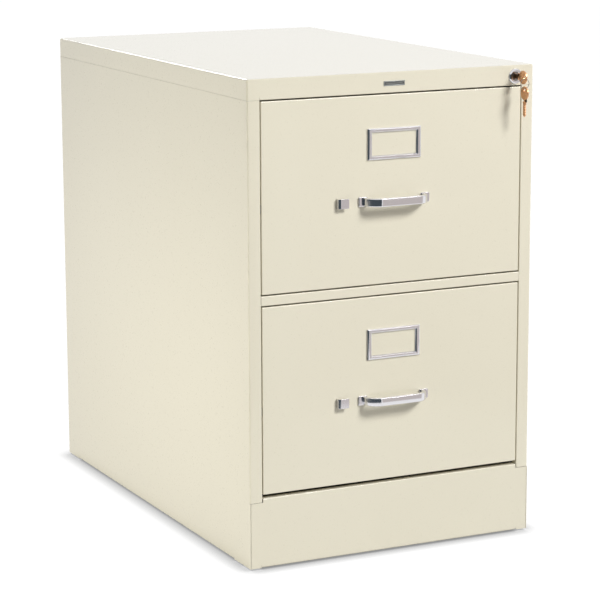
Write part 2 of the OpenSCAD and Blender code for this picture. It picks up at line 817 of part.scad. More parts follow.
module label_frame(base_z) {
    label_z = base_z + reveal + front_h - label_drop;
    slope = (label_rim - label_crest) / 2;
    in_w = label_w - 2 * label_rim;
    in_h = label_h - 2 * label_rim;
    in_frame() color(chrome) translate([0, 0, label_z]) difference() {
        sloped_block(label_w, label_h, slope, label_t);
        // the inside slopes down again to the window
        translate([0, -label_t - 0.01, 0]) mirror([0, 1, 0])
            sloped_block(in_w + 2 * slope, in_h + 2 * slope, slope, label_t - card_slot - 0.4);
        box([-in_w / 2, -label_t - 1, -in_h / 2], [in_w / 2, 1, in_h / 2]);
        // the card's slot behind the moulding, open at the top
        box([-in_w / 2 - 3, -card_slot, -in_h / 2 - 3], [in_w / 2 + 3, 1, label_h]);
    }
}

module upper_label_frame() label_frame(upper_z);

module lower_label_frame() label_frame(lower_z);

// --- Thumb latch ---

module latch_tab(base_z) {
    handle_z = base_z + reveal + front_h - handle_drop;
    gap = 0.3;
    bend = tab_reach - gap;
    stem_in = 1.5;
    stem_t = 3;
    stem_h = latch_bar_h - 4;
    in_frame() color(chrome) {
        translate([tab_left, 0, handle_z - tab_h / 2]) {
            // the left end curls out from the front, then the face runs to the right
            difference() {
                translate([bend, -gap, 0]) cylinder(r = bend, h = tab_h);
                translate([bend, -gap, -1]) cylinder(r = bend - tab_t, h = tab_h + 2);
                translate([bend, -tab_reach - 1, -1]) cube([bend + 1, tab_reach + bend + 2, tab_h + 2]);
                translate([-1, -gap, -1]) cube([bend + 2, bend + 2, tab_h + 2]);
            }
            translate([bend - 0.1, -tab_reach, 0]) cube([tab_w - bend + 0.1, tab_t, tab_h]);
        }
        box([tab_left + stem_in, -tab_reach + tab_t / 2, handle_z - stem_h / 2],
            [tab_left + stem_in + stem_t, latch_bar_y, handle_z + stem_h / 2]);
    }
}

module upper_latch_tab() latch_tab(upper_z);

module lower_latch_tab() latch_tab(lower_z);

module latch_bar(base_z) {
    handle_z = base_z + reveal + front_h - handle_drop;
    tip = -open_x + bolt_gap;
    bolt_end = bolt_root_x + 0.1;
    bolt_t = 5;
    bevel = 4;
    in_frame() color(zinc) {
        box([bolt_root_x, latch_bar_y, handle_z - latch_bar_h / 2],
            [latch_tail_x, latch_bar_y + latch_bar_t, handle_z + latch_bar_h / 2]);
        // bolt, bevelled at the back
        translate([0, latch_bar_y, handle_z - latch_bar_h / 2]) linear_extrude(latch_bar_h)
            polygon([[bolt_end, 0], [tip, 0], [tip, bolt_t - bevel],
                     [tip + bevel, bolt_t], [bolt_end, bolt_t]]);
    }
}

module upper_latch_bar() latch_bar(upper_z);

module lower_latch_bar() latch_bar(lower_z);

// One ring of points across the spring's wire, at turn angle a
function coil_ring(a, n, mid_r, wire_r, rise) = [for (i = [0:n - 1])
    let (w = 360 * i / n, r = mid_r + wire_r * cos(w))
    [rise * a / 360 + wire_r * sin(w), r * cos(a), r * sin(a)]];

module coil(mid_r, wire_r, turns, rise) {
    n = 6;
    steps = 16 * turns;
    points = [for (s = [0:steps]) each coil_ring(360 * s / 16, n, mid_r, wire_r, rise)];
    walls = [for (s = [0:steps - 1], i = [0:n - 1])
        [s * n + i, (s + 1) * n + i, (s + 1) * n + (i + 1) % n, s * n + (i + 1) % n]];
    ends = [[for (i = [0:n - 1]) i], [for (i = [n - 1:-1:0]) steps * n + i]];
    polyhedron(points = points, faces = concat(walls, ends));
}

module latch_spring(base_z) {
    handle_z = base_z + reveal + front_h - handle_drop;
    wire_r = spring_wire / 2;
    in_frame() color(spring_steel)
        translate([latch_tail_x + wire_r, latch_bar_y + spring_r - 0.6, handle_z])
            coil(spring_r - wire_r, wire_r, spring_turns, (spring_len - spring_wire) / spring_turns);
}

module upper_latch_spring() latch_spring(upper_z);

module lower_latch_spring() latch_spring(lower_z);

// --- Follower, which holds files upright ---

module follower(base_z) {
    bottom = base_z + tray_lift;
    floor_z = bottom + drawer_t + follower_lift;
    plate_x = tray_in_x - follower_side_gap;
    y1 = follower_y;
    slot_gap = 0.5;
    pin_z = floor_z + catch_pin_up;
    ear_x = catch_w / 2 + 0.5;
    ear_t = 2;
    ear_r = catch_pin_r + 4;
    in_frame() color(zinc) {
        box([-plate_x, y1 - member_t, floor_z], [plate_x, y1, floor_z + follower_h]);
        box([-plate_x, y1 - follower_lip, floor_z + follower_h - member_t],
            [plate_x, y1, floor_z + follower_h]);
        both_sides() box([plate_x - member_t, y1 - follower_lip, floor_z],
                         [plate_x, y1, floor_z + follower_h]);
        box([-plate_x, y1 - follower_foot_len, floor_z], [plate_x, y1, floor_z + member_t]);
        // tongue through the tray's slot, with a plate under it
        box([-guide_slot_w / 2 + slot_gap, y1 - follower_foot_len, bottom - follower_lift - 0.1],
            [guide_slot_w / 2 - slot_gap, y1, floor_z + member_t]);
        box([-guide_slot_w, y1 - follower_foot_len, bottom - follower_lift - member_t],
            [guide_slot_w, y1, bottom - follower_lift]);
        // ears and pin for the catch lever
        both_sides() box([ear_x, y1 - 0.1, pin_z - ear_r],
                         [ear_x + ear_t, y1 + catch_pin_out + ear_r - 1, pin_z + ear_r]);
        round_x(catch_pin_r, -ear_x - 0.5, ear_x + 0.5, y1 + catch_pin_out, pin_z);
    }
}

module upper_follower() follower(upper_z);

module lower_follower() follower(lower_z);

module follower_catch(base_z) {
    floor_z = base_z + tray_lift + drawer_t + follower_lift;
    pin_y = follower_y + catch_pin_out;
    pin_z = floor_z + catch_pin_up;
    lever_t = 2;
    thumb_d = 10;
    in_frame() color(chrome) difference() {
        union() {
            round_x(catch_pin_r + 2.5, -catch_w / 2, catch_w / 2, pin_y, pin_z);
            box([-catch_w / 2, pin_y - lever_t / 2, floor_z + 0.5],
                [catch_w / 2, pin_y + lever_t / 2, floor_z + catch_len]);
            box([-catch_w / 2, pin_y - lever_t / 2, floor_z + catch_len - lever_t],
                [catch_w / 2, pin_y + thumb_d, floor_z + catch_len]);
        }
        round_x(catch_pin_r + axle_play, -catch_w, catch_w, pin_y, pin_z);
    }
}

module upper_follower_catch() follower_catch(upper_z);

module lower_follower_catch() follower_catch(lower_z);

// --- Lock ---

module lock_housing() {
    in_frame() color(chrome) difference() {
        union() {
            round_y(lock_body_r, -0.1, lock_body_len, lock_x, lock_z);
            translate([lock_x, 0, lock_z]) rotate([90, 0, 0])
                cylinder(r1 = lock_ring_r, r2 = lock_ring_r - 1.5, h = lock_ring_t);
        }
        round_y(plug_r + plug_play, -lock_ring_t - 1, lock_body_len + 1, lock_x, lock_z);
    }
}

module lock_nut() {
    in_frame() color(zinc) difference() {
        round_y(lock_ring_r + 0.3, sheet, sheet + lock_nut_t, lock_x, lock_z);
        round_y(lock_body_r + screw_play, 0, sheet + lock_nut_t + 1, lock_x, lock_z);
    }
}

module lock_plug() {
    keyway_h = blade_w + 2 * keyway_gap;
    keyway_t = key_t + 2 * keyway_gap;
    in_frame() color(chrome) difference() {
        round_y(plug_r, 0.4 - lock_ring_t, cam_y, lock_x, lock_z);
        box([lock_x - keyway_t / 2, -lock_ring_t - 1, lock_z - keyway_h / 2],
            [lock_x + keyway_t / 2, keyway_end, lock_z + keyway_h / 2]);
    }
}

module lock_cam() {
    in_frame() color(zinc) {
        round_y(plug_r, cam_y, cam_y + cam_t, lock_x, lock_z);
        box([lock_x, cam_y, lock_z - cam_pin_r - 1],
            [lock_x + cam_r, cam_y + cam_t, lock_z + cam_pin_r + 1]);
        round_y(cam_pin_r + 1, cam_y, cam_y + cam_t, lock_x + cam_r, lock_z);
        round_y(cam_pin_r, cam_y + cam_t - 0.1, lock_bar_y + lock_bar_t, lock_x + cam_r, lock_z);
    }
}

module lock_bar() {
    // half-way round, the pin is lower than the evenly falling bar by this share of its circle
    pin_lead = 0.21;
    slot_low = lock_z - cam_pin_r - pin_lead * cam_r - 2 * guide_gap;
    slot_top = lock_z + cam_pin_r + guide_gap;
    slot_in_x = lock_x - cam_pin_r - 1;
    y1 = lock_bar_y + lock_bar_t;
    low_z = lower_z + reveal + front_h - hook_drop;
    high_z = upper_z + reveal + front_h - hook_drop;
    in_frame() color(zinc) difference() {
        union() {
            box([lock_bar_x, lock_bar_y, low_z + cam_r], [lock_bar_x + lock_bar_w, y1, lock_bar_top]);
            box([slot_in_x - 1.5, lock_bar_y, slot_low - 3], [lock_bar_x + 1, y1, lock_bar_top]);
            for (z = [low_z, high_z])
                box([lug_tip_x, lock_bar_y, z + cam_r], [lock_bar_x + 1, y1, z + cam_r + lug_h]);
        }
        box([slot_in_x, lock_bar_y - 1, slot_low], [lock_x + cam_r + cam_pin_r + 1, y1 + 1, slot_top]);
    }
}

// A key lies in the Y and Z plane, its shoulder at the origin and its blade along +Y
module key_shape() {
    r = bow_h / 2;
    rotate([0, 90, 0]) translate([0, 0, -key_t / 2]) linear_extrude(key_t) difference() {
        union() {
            translate([0, -neck_len - bow_len / 2]) scale([r / (bow_len / 2), 1])
                circle(r = bow_len / 2);
            translate([-neck_w / 2, -neck_len - 2]) square([neck_w, neck_len + 2]);
            translate([-blade_w / 2, -1]) square([blade_w, blade_len + 1 - blade_w / 2]);
            translate([0, blade_len - blade_w / 2]) rotate(45) square(blade_w / sqrt(2), center = true);
        }
        translate([0, bow_hole_in - bow_len - neck_len]) circle(r = bow_hole_r);
        // bitting along one edge
        for (i = [0:3]) translate([blade_w / 2 + 0.6, blade_len - blade_w - 3.5 * i])
            rotate(45) square(2.4, center = true);
    }
}

module key() in_frame() color(brass) translate([lock_x, shoulder_y, lock_z]) key_shape();

module key_ring() {
    in_frame() color(chrome) translate([lock_x, hole_y, ring_z]) rotate([90, 0, 0])
        rotate_extrude() translate([ring_r, 0]) circle(r = ring_wire / 2, $fn = 16);
}

module spare_key() {
    // hangs from the ring with its blade down
    in_frame() color(brass) translate([lock_x, hole_y, spare_z + bow_hole_in - bow_len - neck_len])
        rotate([-90, 0, 0]) key_shape();
}

module badge_plate() {
    in_frame() color(chrome)
        box([-badge_w / 2, -badge_t, lock_z - badge_h / 2], [badge_w / 2, 0, lock_z + badge_h / 2]);
}

side_panel_left();
side_panel_right();
top_panel();
back_panel();
base_front_panel();
base_rear_rail();
divider_rail();
top_stiffener();
front_posts();
rear_posts();
floor_glides();
upper_case_channels();
lower_case_channels();
channel_stops();
lock_housing();
lock_nut();
badge_plate();
lock_bar_guides();
lock_plug();
lock_cam();
key();
key_ring();
spare_key();
lock_bar();
upper_drawer_front();
upper_inner_panel();
upper_tray();
upper_drawer_back();
upper_handle();
upper_handle_screws();
upper_label_frame();
upper_runners();
upper_latch_tab();
upper_latch_bar();
upper_latch_spring();
upper_follower();
upper_follower_catch();
upper_drawer_rollers();
upper_cradles();
upper_cradle_rear_rollers();
upper_cradle_front_rollers();
upper_case_rollers();
lower_drawer_front();
lower_inner_panel();
lower_tray();
lower_drawer_back();
lower_handle();
lower_handle_screws();
lower_label_frame();
lower_runners();
lower_latch_tab();
lower_latch_bar();
lower_latch_spring();
lower_follower();
lower_follower_catch();
lower_drawer_rollers();
lower_cradles();
lower_cradle_rear_rollers();
lower_cradle_front_rollers();
lower_case_rollers();
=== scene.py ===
import json
import math

import bmesh
import bpy
from mathutils import Matrix, Vector
from mathutils.geometry import tessellate_polygon


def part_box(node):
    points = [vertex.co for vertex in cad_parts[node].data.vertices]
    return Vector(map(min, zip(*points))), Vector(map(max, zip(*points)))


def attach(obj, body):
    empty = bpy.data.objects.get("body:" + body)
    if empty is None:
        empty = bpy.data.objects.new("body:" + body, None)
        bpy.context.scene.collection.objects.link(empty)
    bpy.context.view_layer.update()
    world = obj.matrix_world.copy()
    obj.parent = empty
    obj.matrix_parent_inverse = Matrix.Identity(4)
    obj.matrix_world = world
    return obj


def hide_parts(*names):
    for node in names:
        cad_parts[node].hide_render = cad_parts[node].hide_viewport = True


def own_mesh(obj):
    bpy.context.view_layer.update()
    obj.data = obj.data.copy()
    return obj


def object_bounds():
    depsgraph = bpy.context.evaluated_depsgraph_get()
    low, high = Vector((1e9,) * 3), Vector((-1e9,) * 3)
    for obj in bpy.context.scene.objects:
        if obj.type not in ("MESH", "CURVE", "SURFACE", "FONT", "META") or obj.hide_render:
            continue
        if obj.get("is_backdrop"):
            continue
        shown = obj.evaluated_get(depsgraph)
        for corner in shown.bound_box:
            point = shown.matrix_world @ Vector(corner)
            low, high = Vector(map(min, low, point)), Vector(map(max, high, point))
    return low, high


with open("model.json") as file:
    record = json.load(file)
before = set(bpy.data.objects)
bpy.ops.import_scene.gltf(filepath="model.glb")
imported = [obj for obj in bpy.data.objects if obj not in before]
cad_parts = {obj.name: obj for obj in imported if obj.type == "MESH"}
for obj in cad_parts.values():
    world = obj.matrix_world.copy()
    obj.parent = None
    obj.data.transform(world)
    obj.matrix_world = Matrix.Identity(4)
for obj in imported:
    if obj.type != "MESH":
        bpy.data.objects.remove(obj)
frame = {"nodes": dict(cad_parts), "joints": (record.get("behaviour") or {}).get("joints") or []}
cad_low, cad_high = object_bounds()


# --- Camera ---
# A long lens at a little over the height of the cabinet, in front of it and to its left, so that
# the left side, the fronts and a sliver of the top show. Everything is in metres.

CAMERA_AT = (-1.6174, -3.3552, 1.0615)
TURN, TILT, ROLL = -26.02, -11.31, -0.21  # degrees, as the camera is carried on its stand


def linked(name, data):
    """A new object in the scene."""
    made = bpy.data.objects.new(name, data)
    bpy.context.scene.collection.objects.link(made)
    return made


lens = bpy.data.cameras.new("camera")
lens.sensor_width = 36.0
lens.lens = 143.3
lens.clip_end = 60.0
camera = linked("camera", lens)
camera.matrix_world = (
    Matrix.Translation(CAMERA_AT)
    @ Matrix.Rotation(math.radians(TURN), 4, "Z")
    @ Matrix.Rotation(math.radians(90.0 + TILT), 4, "X")
    @ Matrix.Rotation(math.radians(ROLL), 4, "Z")
)
bpy.context.scene.camera = camera


# --- Studio ---
# A white sweep: an even bright room, a soft main lamp high on the right in front, two weak ones low
# on the left, one behind, and a plain pale floor with a painted contact shadow and painted shade
# under the case. Curved glowing cards, seen only in polished surfaces, paint reflections into the
# chrome.

bpy.context.scene.view_settings.view_transform = "Standard"


def math_node(operation, swapped=False):
    """A method that adds one Math node to a signal's tree."""
    def method(signal, *others):
        values = (signal, *others)[::-1 if swapped else 1]
        return signal.graph.node(
            "ShaderNodeMath", {"operation": operation}, dict(enumerate(values)))
    return method


class Signal:
    """An output of a node tree, on which plain arithmetic adds Math nodes."""

    def __init__(self, graph, socket):
        self.graph, self.socket = graph, socket

    __add__ = __radd__ = math_node("ADD")
    __sub__, __rsub__ = math_node("SUBTRACT"), math_node("SUBTRACT", swapped=True)
    __mul__ = __rmul__ = math_node("MULTIPLY")
    __truediv__, __pow__ = math_node("DIVIDE"), math_node("POWER")
    at_least, at_most = math_node("MAXIMUM"), math_node("MINIMUM")
    near = math_node("COMPARE")

    def limit(self):
        return self.at_least(0.0).at_most(1.0)

    def within(self, low, high):
        """1 between low and high, 0 outside."""
        return self.near((low + high) / 2, (high - low) / 2)


class Graph:
    """A node tree, and the one call that adds its nodes."""

    def node(self, kind, settings=None, values=None, output=0):
        node = self.tree.nodes.new(kind)
        for key, value in (settings or {}).items():
            setattr(node, key, value)
        for key, value in (values or {}).items():
            if isinstance(value, Signal):
                self.tree.links.new(value.socket, node.inputs[key])
            else:
                node.inputs[key].default_value = value
        return Signal(self, node.outputs[output]) if len(node.outputs) else None


class Finish(Graph):
    """A surface finish: the tree of its material, and the slot that the finish goes in."""

    def __init__(self, name, owner=None):
        self.material = owner or bpy.data.materials.new(name)
        self.material.use_nodes = True
        self.tree = self.material.node_tree
        self.tree.nodes.clear()

    def place(self):
        """Where a point is on the object, in metres."""
        return self.node("ShaderNodeTexCoord", output=3)

    def stretched(self, scale):
        return self.node("ShaderNodeMapping", {}, {"Vector": self.place(), "Scale": scale})

    def noise(self, scale, detail=3.0, roughness=0.5, where=None):
        """Even noise around 0.5, its scale in features for each metre."""
        return self.node("ShaderNodeTexNoise", {}, {
            "Vector": where or self.place(), "Scale": scale, "Detail": detail,
            "Roughness": roughness})

    def blend(self, factor, first, second):
        """first where factor is 0, second where it is 1."""
        values = {0: factor, 6: first, 7: second}
        return self.node("ShaderNodeMix", {"data_type": "RGBA"}, values, output=2)

    def bump(self, height, depth, strength=1.0):
        return self.node("ShaderNodeBump", {}, {
            "Height": height, "Distance": depth, "Strength": strength})

    def surface(self, slot, **values):
        """The Principled shader, with its sockets named by keyword."""
        self.slot = slot
        self.show(self.node("ShaderNodeBsdfPrincipled", {}, {
            key.replace("_", " "): value for key, value in values.items()}))
        return self

    def seen(self):
        """1 where the view meets this, straight or in a mirror or through glass, 0 for light."""
        rays = [self.node("ShaderNodeLightPath", output=name)
                for name in ("Is Camera Ray", "Is Glossy Ray", "Is Transmission Ray")]
        return sum(rays, 0.0).limit()

    def show(self, shader):
        self.node("ShaderNodeOutputMaterial", {}, {"Surface": shader})


def srgb(red, green, blue):
    """A colour as it is seen, 0 to 255, turned into the light that it sends back."""
    def one(level):
        level /= 255.0
        return level / 12.92 if level <= 0.04045 else ((level + 0.055) / 1.055) ** 2.4
    return (one(red), one(green), one(blue), 1.0)


def grey(level):
    return (level, level, level, 1.0)


def lit(colour, share):
    return (*(level * share for level in colour[:3]), 1.0)


ROOM_FILL = 0.28  # the room's light on the cabinet, against the white that the camera sees
room = bpy.data.worlds.new("room")
bpy.context.scene.world = room
room_light = Finish("room", room)
backdrop = room_light.node("ShaderNodeBackground", {}, {
    "Color": grey(1.0), "Strength": room_light.seen() * (1.0 - ROOM_FILL) + ROOM_FILL})
room_light.node("ShaderNodeOutputWorld", {}, {"Surface": backdrop})


def staged(name, points, faces, material):
    """A floor or card that belongs to the studio and not to the cabinet."""
    mesh = bpy.data.meshes.new(name)
    mesh.from_pydata(points, [], faces)
    mesh.materials.append(material)
    card = linked(name, mesh)
    card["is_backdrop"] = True
    return card


FLOOR_HALF = 40.0
FLOOR_SHADE = 0.46  # how much light the floor sends back to the cabinet
FLOOR_SEEN, FLOOR_GLOW = 0.08, 1.00
# the painted contact shadow on the floor, and the painted shade under the case
CONTACT_REACH, CONTACT_FALL, CONTACT_SHADE = 0.028, 1.5, 0.26
UNDER_INSET, UNDER_FRONT = 0.006, 0.030  # inwards from the case, at its sides and at its front
floor_paint = Finish("floor_paint")
floor_seen = floor_paint.seen()
matt = floor_paint.node("ShaderNodeBsdfDiffuse", {}, {
    "Color": floor_paint.blend(floor_seen, grey(FLOOR_SHADE), grey(FLOOR_SEEN))})
# painted contact shadow: a narrow dark line painted into the floor's glow where the cabinet nearly
# touches the floor
contact_shadow_mask = floor_paint.node("ShaderNodeAmbientOcclusion", {"samples": 12}, {
    "Distance": CONTACT_REACH}, output=1) ** CONTACT_FALL
# painted shade: the floor's glow is cut off inside the case's outline, which is out of the light
kick_low, kick_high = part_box("base_front_panel")
floor_x, floor_y = (floor_paint.node("ShaderNodeSeparateXYZ", {}, {
    0: floor_paint.place()}, output=axis) for axis in range(2))
under = (floor_x.within(kick_low.x + UNDER_INSET, kick_high.x - UNDER_INSET)
         * floor_y.within(kick_low.y + UNDER_FRONT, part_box("back_panel")[1].y - UNDER_INSET))
# the floor's even white for the view, with the painted contact shadow and the painted shade under
# the case
glow = floor_paint.node("ShaderNodeEmission", {}, {
    "Color": floor_paint.blend(contact_shadow_mask, grey(CONTACT_SHADE), grey(FLOOR_GLOW)),
    "Strength": floor_seen * (1.0 - under)})
# from underneath, the floor lets the view through
floor_paint.show(floor_paint.node("ShaderNodeMixShader", {}, {
    0: floor_paint.node("ShaderNodeNewGeometry", output="Backfacing"),
    1: floor_paint.node("ShaderNodeAddShader", {}, {0: matt, 1: glow}),
    2: floor_paint.node("ShaderNodeBsdfTransparent")}))
staged("floor", [(x * FLOOR_HALF, y * FLOOR_HALF, 0.0) for x, y in (
    (-1, -1), (1, -1), (1, 1), (-1, 1))], [(0, 1, 2, 3)], floor_paint.material)


def mirror_screen(name, start, end, height, shade, radius=0.85, steps=24):
    """An upright curved card round the front of the cabinet, from start to end, in degrees to the
    right of straight ahead. It glows in its shade, and only polished surfaces see it: a painted
    reflection, which gives no light and no shadow."""
    paint = Finish(name)
    paint.show(paint.node("ShaderNodeEmission", {}, {"Color": shade, "Strength": 1.0}))
    turns = [math.radians(start + (end - start) * i / steps) for i in range(steps + 1)]
    card = staged(name, [(radius * math.sin(a), cad_low.y - radius * math.cos(a), z)
                         for a in turns for z in (0.0, height)],
                  [(2 * i, 2 * i + 2, 2 * i + 3, 2 * i + 1) for i in range(steps)], paint.material)
    card.visible_camera = card.visible_diffuse = card.visible_shadow = False
    card.visible_transmission = False


# painted reflections for the chrome: a dark glowing card on the left and a grey one on the right
mirror_screen("dark_card", -100.0, 12.0, 1.1, srgb(76, 84, 90))
mirror_screen("grey_card", 18.0, 64.0, 1.6, srgb(214, 206, 203))

WARM = (1.0, 0.97, 0.86)


def soft_lamp(name, place, facing, size, power, tint=(1.0, 1.0, 1.0), spread=180.0):
    """A round soft lamp, its size in metres, its power in watts and its spread in degrees."""
    light = bpy.data.lights.new(name, "AREA")
    light.shape, light.size, light.energy, light.color = "DISK", size, power, tint
    light.spread = math.radians(spread)
    lamp = linked(name, light)
    turn = (Vector(place) - Vector(facing)).to_track_quat("Z", "Y").to_matrix().to_4x4()
    lamp.matrix_world = Matrix.Translation(place) @ turn
    lamp.visible_camera = False


soft_lamp("main_lamp", (2.59, -4.60, 4.26), (0.0, -0.3, 0.4), 1.9, 366.0)
soft_lamp("side_lamp", (-1.35, -0.30, 0.10), (0.0, 0.1, 0.3), 0.8, 12.6, WARM)
soft_lamp("low_lamp", (-1.9, 0.30, 0.02), (-0.23, 0.42, 0.0), 0.4, 0.6, WARM, 50.0)
soft_lamp("back_lamp", (-0.45, 3.5, 2.5), (-0.2, 0.0, 0.7), 1.0, 32.0)


# --- Side panels ---
# Each side is one sheet of steel. It is folded round the front as a stile with a return behind it,
# and round the back and the bottom as narrow flanges, and is welded to the posts inside.

SHEET = 0.0009
FOLD = 0.0022
CRISP = 0.45  # a crisp fold's radius against the others
SEAM = 0.0006  # the gap at a welded seam
STILE_RETURN = 0.012
REAR_FLANGE = 0.015
RELIEF, RELIEF_DEEP = 0.0005, 0.004  # the slot cut at each end of a flange before it is folded
POST_CLEAR = 0.002  # the folds along the bottom and the top end this far short of the posts
TONGUE = 0.007  # how far the base's tongue stands up between the stiles
JOGGLE = 0.018  # the side's top edge is set in behind the cap's skirt by this height
X, Y, Z = Vector((1, 0, 0)), Vector((0, 1, 0)), Vector((0, 0, 1))


def shade(mesh, sharp=35.0):
    """Smooth shading, broken at edges that turn by more than sharp, in degrees."""
    mesh.shade_smooth()
    mesh.set_sharp_from_angle(angle=math.radians(sharp))


def plain_mesh(obj):
    """The mesh that an object with live modifiers comes to."""
    bpy.context.view_layer.update()
    depsgraph = bpy.context.evaluated_depsgraph_get()
    return bpy.data.meshes.new_from_object(obj.evaluated_get(depsgraph))


def settled(obj):
    """Makes an object with live modifiers a plain one, and shades it so that its large flat faces
    stay flat beside small rounded folds."""
    for even in (False, True):
        if even:
            weighted = obj.modifiers.new("even", "WEIGHTED_NORMAL")
            weighted.keep_sharp, weighted.weight = True, 60
        mesh, old = plain_mesh(obj), obj.data
        obj.modifiers.clear()
        obj.data = mesh
        bpy.data.meshes.remove(old)
        if not even:
            shade(mesh)
    return obj


def in_scene(work):
    """The bmesh as a mesh object in the scene, which new_piece names."""
    mesh = bpy.data.meshes.new("piece")
    work.to_mesh(mesh)
    work.free()
    return linked("piece", mesh)


def new_piece(name, piece, finish, body, *nodes, slot=None):
    """Makes a finished mesh object one piece of the cabinet, in place of its CAD nodes."""
    piece.name = piece.data.name = name
    piece.data.materials.clear()
    piece.data.materials.append(finish.material)
    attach(piece, body)
    if nodes:
        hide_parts(*nodes)
    return piece


def oblong(x, y, z, y_first=False):
    """The corners of a flat rectangle: two of x, y and z are spans and the third is one number."""
    corners = []
    for ends in ((0, 0), (1, 0), (1, 1), (0, 1)):
        ends = iter(ends[::-1] if y_first else ends)
        corners.append([v[next(ends)] if isinstance(v, tuple) else v for v in (x, y, z)])
    return corners


def relieved(start, end, level):
    """Along an edge at this level, a flange from start to end with a relief slot at each end."""
    slot = level + RELIEF_DEEP
    return [(start - RELIEF, level), (start - RELIEF, slot), (start, slot), (start, level),
            (end, level), (end, slot), (end + RELIEF, slot), (end + RELIEF, level)]


def folded_sheet(name, body, node, faces, thickness=SHEET, fold=FOLD, crisp=()):
    """An enamelled sheet drawn by its outer faces: each is its outline, the way it looks, and its
    holes. Faces that share an edge at an angle are folded there, and the thickness goes inwards.
    crisp holds pairs of directions: the fold between two such faces is made over a sharper die."""
    work = bmesh.new()
    for outline, outward, *holes in faces:
        loops = [list(map(Vector, loop)) for loop in (outline, *holes)]
        points = [work.verts.new(point) for loop in loops for point in loop]
        corners = [points] if not holes else [
            [points[i] for i in triangle] for triangle in tessellate_polygon(loops)]
        for ring in corners:
            face = work.faces.new(ring)
            face.normal_update()
            if face.normal.dot(outward) < 0:
                face.normal_flip()
    bmesh.ops.remove_doubles(work, verts=work.verts, dist=1e-6)
    bmesh.ops.dissolve_limit(
        work, angle_limit=0.01, verts=work.verts, edges=work.edges, delimit={"NORMAL"})
    folds = work.edges.layers.float.new("bevel_weight_edge")
    for edge in work.edges:
        if len(edge.link_faces) == 2 and edge.calc_face_angle() > 0.5:
            one, other = (face.normal for face in edge.link_faces)
            edge[folds] = CRISP if any(
                max(min(one.dot(a), other.dot(b)), min(one.dot(b), other.dot(a))) > 0.9
                for a, b in crisp) else 1.0
    sheet = in_scene(work)
    rounding = sheet.modifiers.new("fold", "BEVEL")
    rounding.limit_method, rounding.width, rounding.segments = "WEIGHT", fold, 4
    rounding.use_clamp_overlap = False
    wall = sheet.modifiers.new("wall", "SOLIDIFY")
    wall.thickness, wall.offset, wall.use_even_offset = thickness, -1.0, True
    new_piece(name, settled(sheet), putty, body, node)


# The baked enamel that covers all of the case and the drawers: an even putty colour, a fine orange
# peel, and a slight drift in tone from one part of a panel to the next.
def enamel(name, colour, drift):
    coat = Finish(name)
    cloud = coat.noise(2.6, 2.0)
    peel = coat.noise(900.0, 2.0)
    speck = coat.noise(420.0, 3.0, 0.6)
    tone = (cloud - 0.5) * 1.6 + 0.5
    return coat.surface(
        "putty_paint", Base_Color=coat.blend(tone.limit(), colour, drift),
        Roughness=(speck - 0.5) * 0.04 + 0.28, Normal=coat.bump(peel, 0.000003, 0.25),
        Coat_Weight=0.7, Coat_Roughness=0.12)


putty = enamel("putty_enamel", srgb(229, 223, 203), srgb(226, 220, 199))
cap_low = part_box("top_panel")[0]
front_y, header_z = cap_low.y, cap_low.z


def side_panel(side, node):
    low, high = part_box(node)
    inner, outer = (high.x, low.x) if side < 0 else (low.x, high.x)
    back, foot, top = high.y, low.z, header_z - SEAM / 2
    stile_foot = kick_high.z - TONGUE + SEAM
    flange = outer - side * REAR_FLANGE
    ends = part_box("front_posts")[1].y + POST_CLEAR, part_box("rear_posts")[0].y - POST_CLEAR
    out = side * X

    wall = [(outer, y, z) for y, z in (
        (front_y, foot), *relieved(*ends, foot), (back, foot), (back, top), (front_y, top),
        (front_y, stile_foot), (front_y + RELIEF_DEEP, stile_foot),
        (front_y + RELIEF_DEEP, stile_foot - RELIEF), (front_y, stile_foot - RELIEF))]
    folded_sheet(node.replace("panel", "skin"), "case", node, [
        (wall, out),
        (oblong((outer, inner), front_y, (stile_foot, top)), -Y),
        (oblong(inner, (front_y, front_y + STILE_RETURN), (stile_foot, top)), -out),
        (oblong((outer, flange), back, (foot, top)), Y),
        (oblong((outer, flange), ends, foot, y_first=True), -Z),
        (oblong(outer - side * SHEET, ends, (header_z - JOGGLE, high.z)), out)],
        crisp=[(-Y, -out)])


side_panel(-1, "side_panel_left")
side_panel(1, "side_panel_right")


# --- Top cap ---
# The cap is one sheet with a deep skirt turned down all round. Its front skirt is the header over
# the upper drawer, with a return along the bottom, and it has a round hole for the lock.

CAP_FOLD = 0.0024
CAP_RETURN = 0.012
LOCK_SHOULDER = 0.002  # the lock's face ring reaches this far past its body
LOCK_HOLE_GAP = 0.0001


def round_outline(radius, sides, centre=(0.0, 0.0)):
    return [(centre[0] + radius * math.cos(turn), centre[1] + radius * math.sin(turn))
            for turn in (2 * math.pi * i / sides for i in range(sides))]


def round_hole(centre, radius, across, up, sides):
    return [Vector(centre) + across * a + up * b for a, b in round_outline(radius, sides)]


def box_corners(node):
    low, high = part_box(node)
    return low.x, high.x, low.y, high.y, low.z, high.z


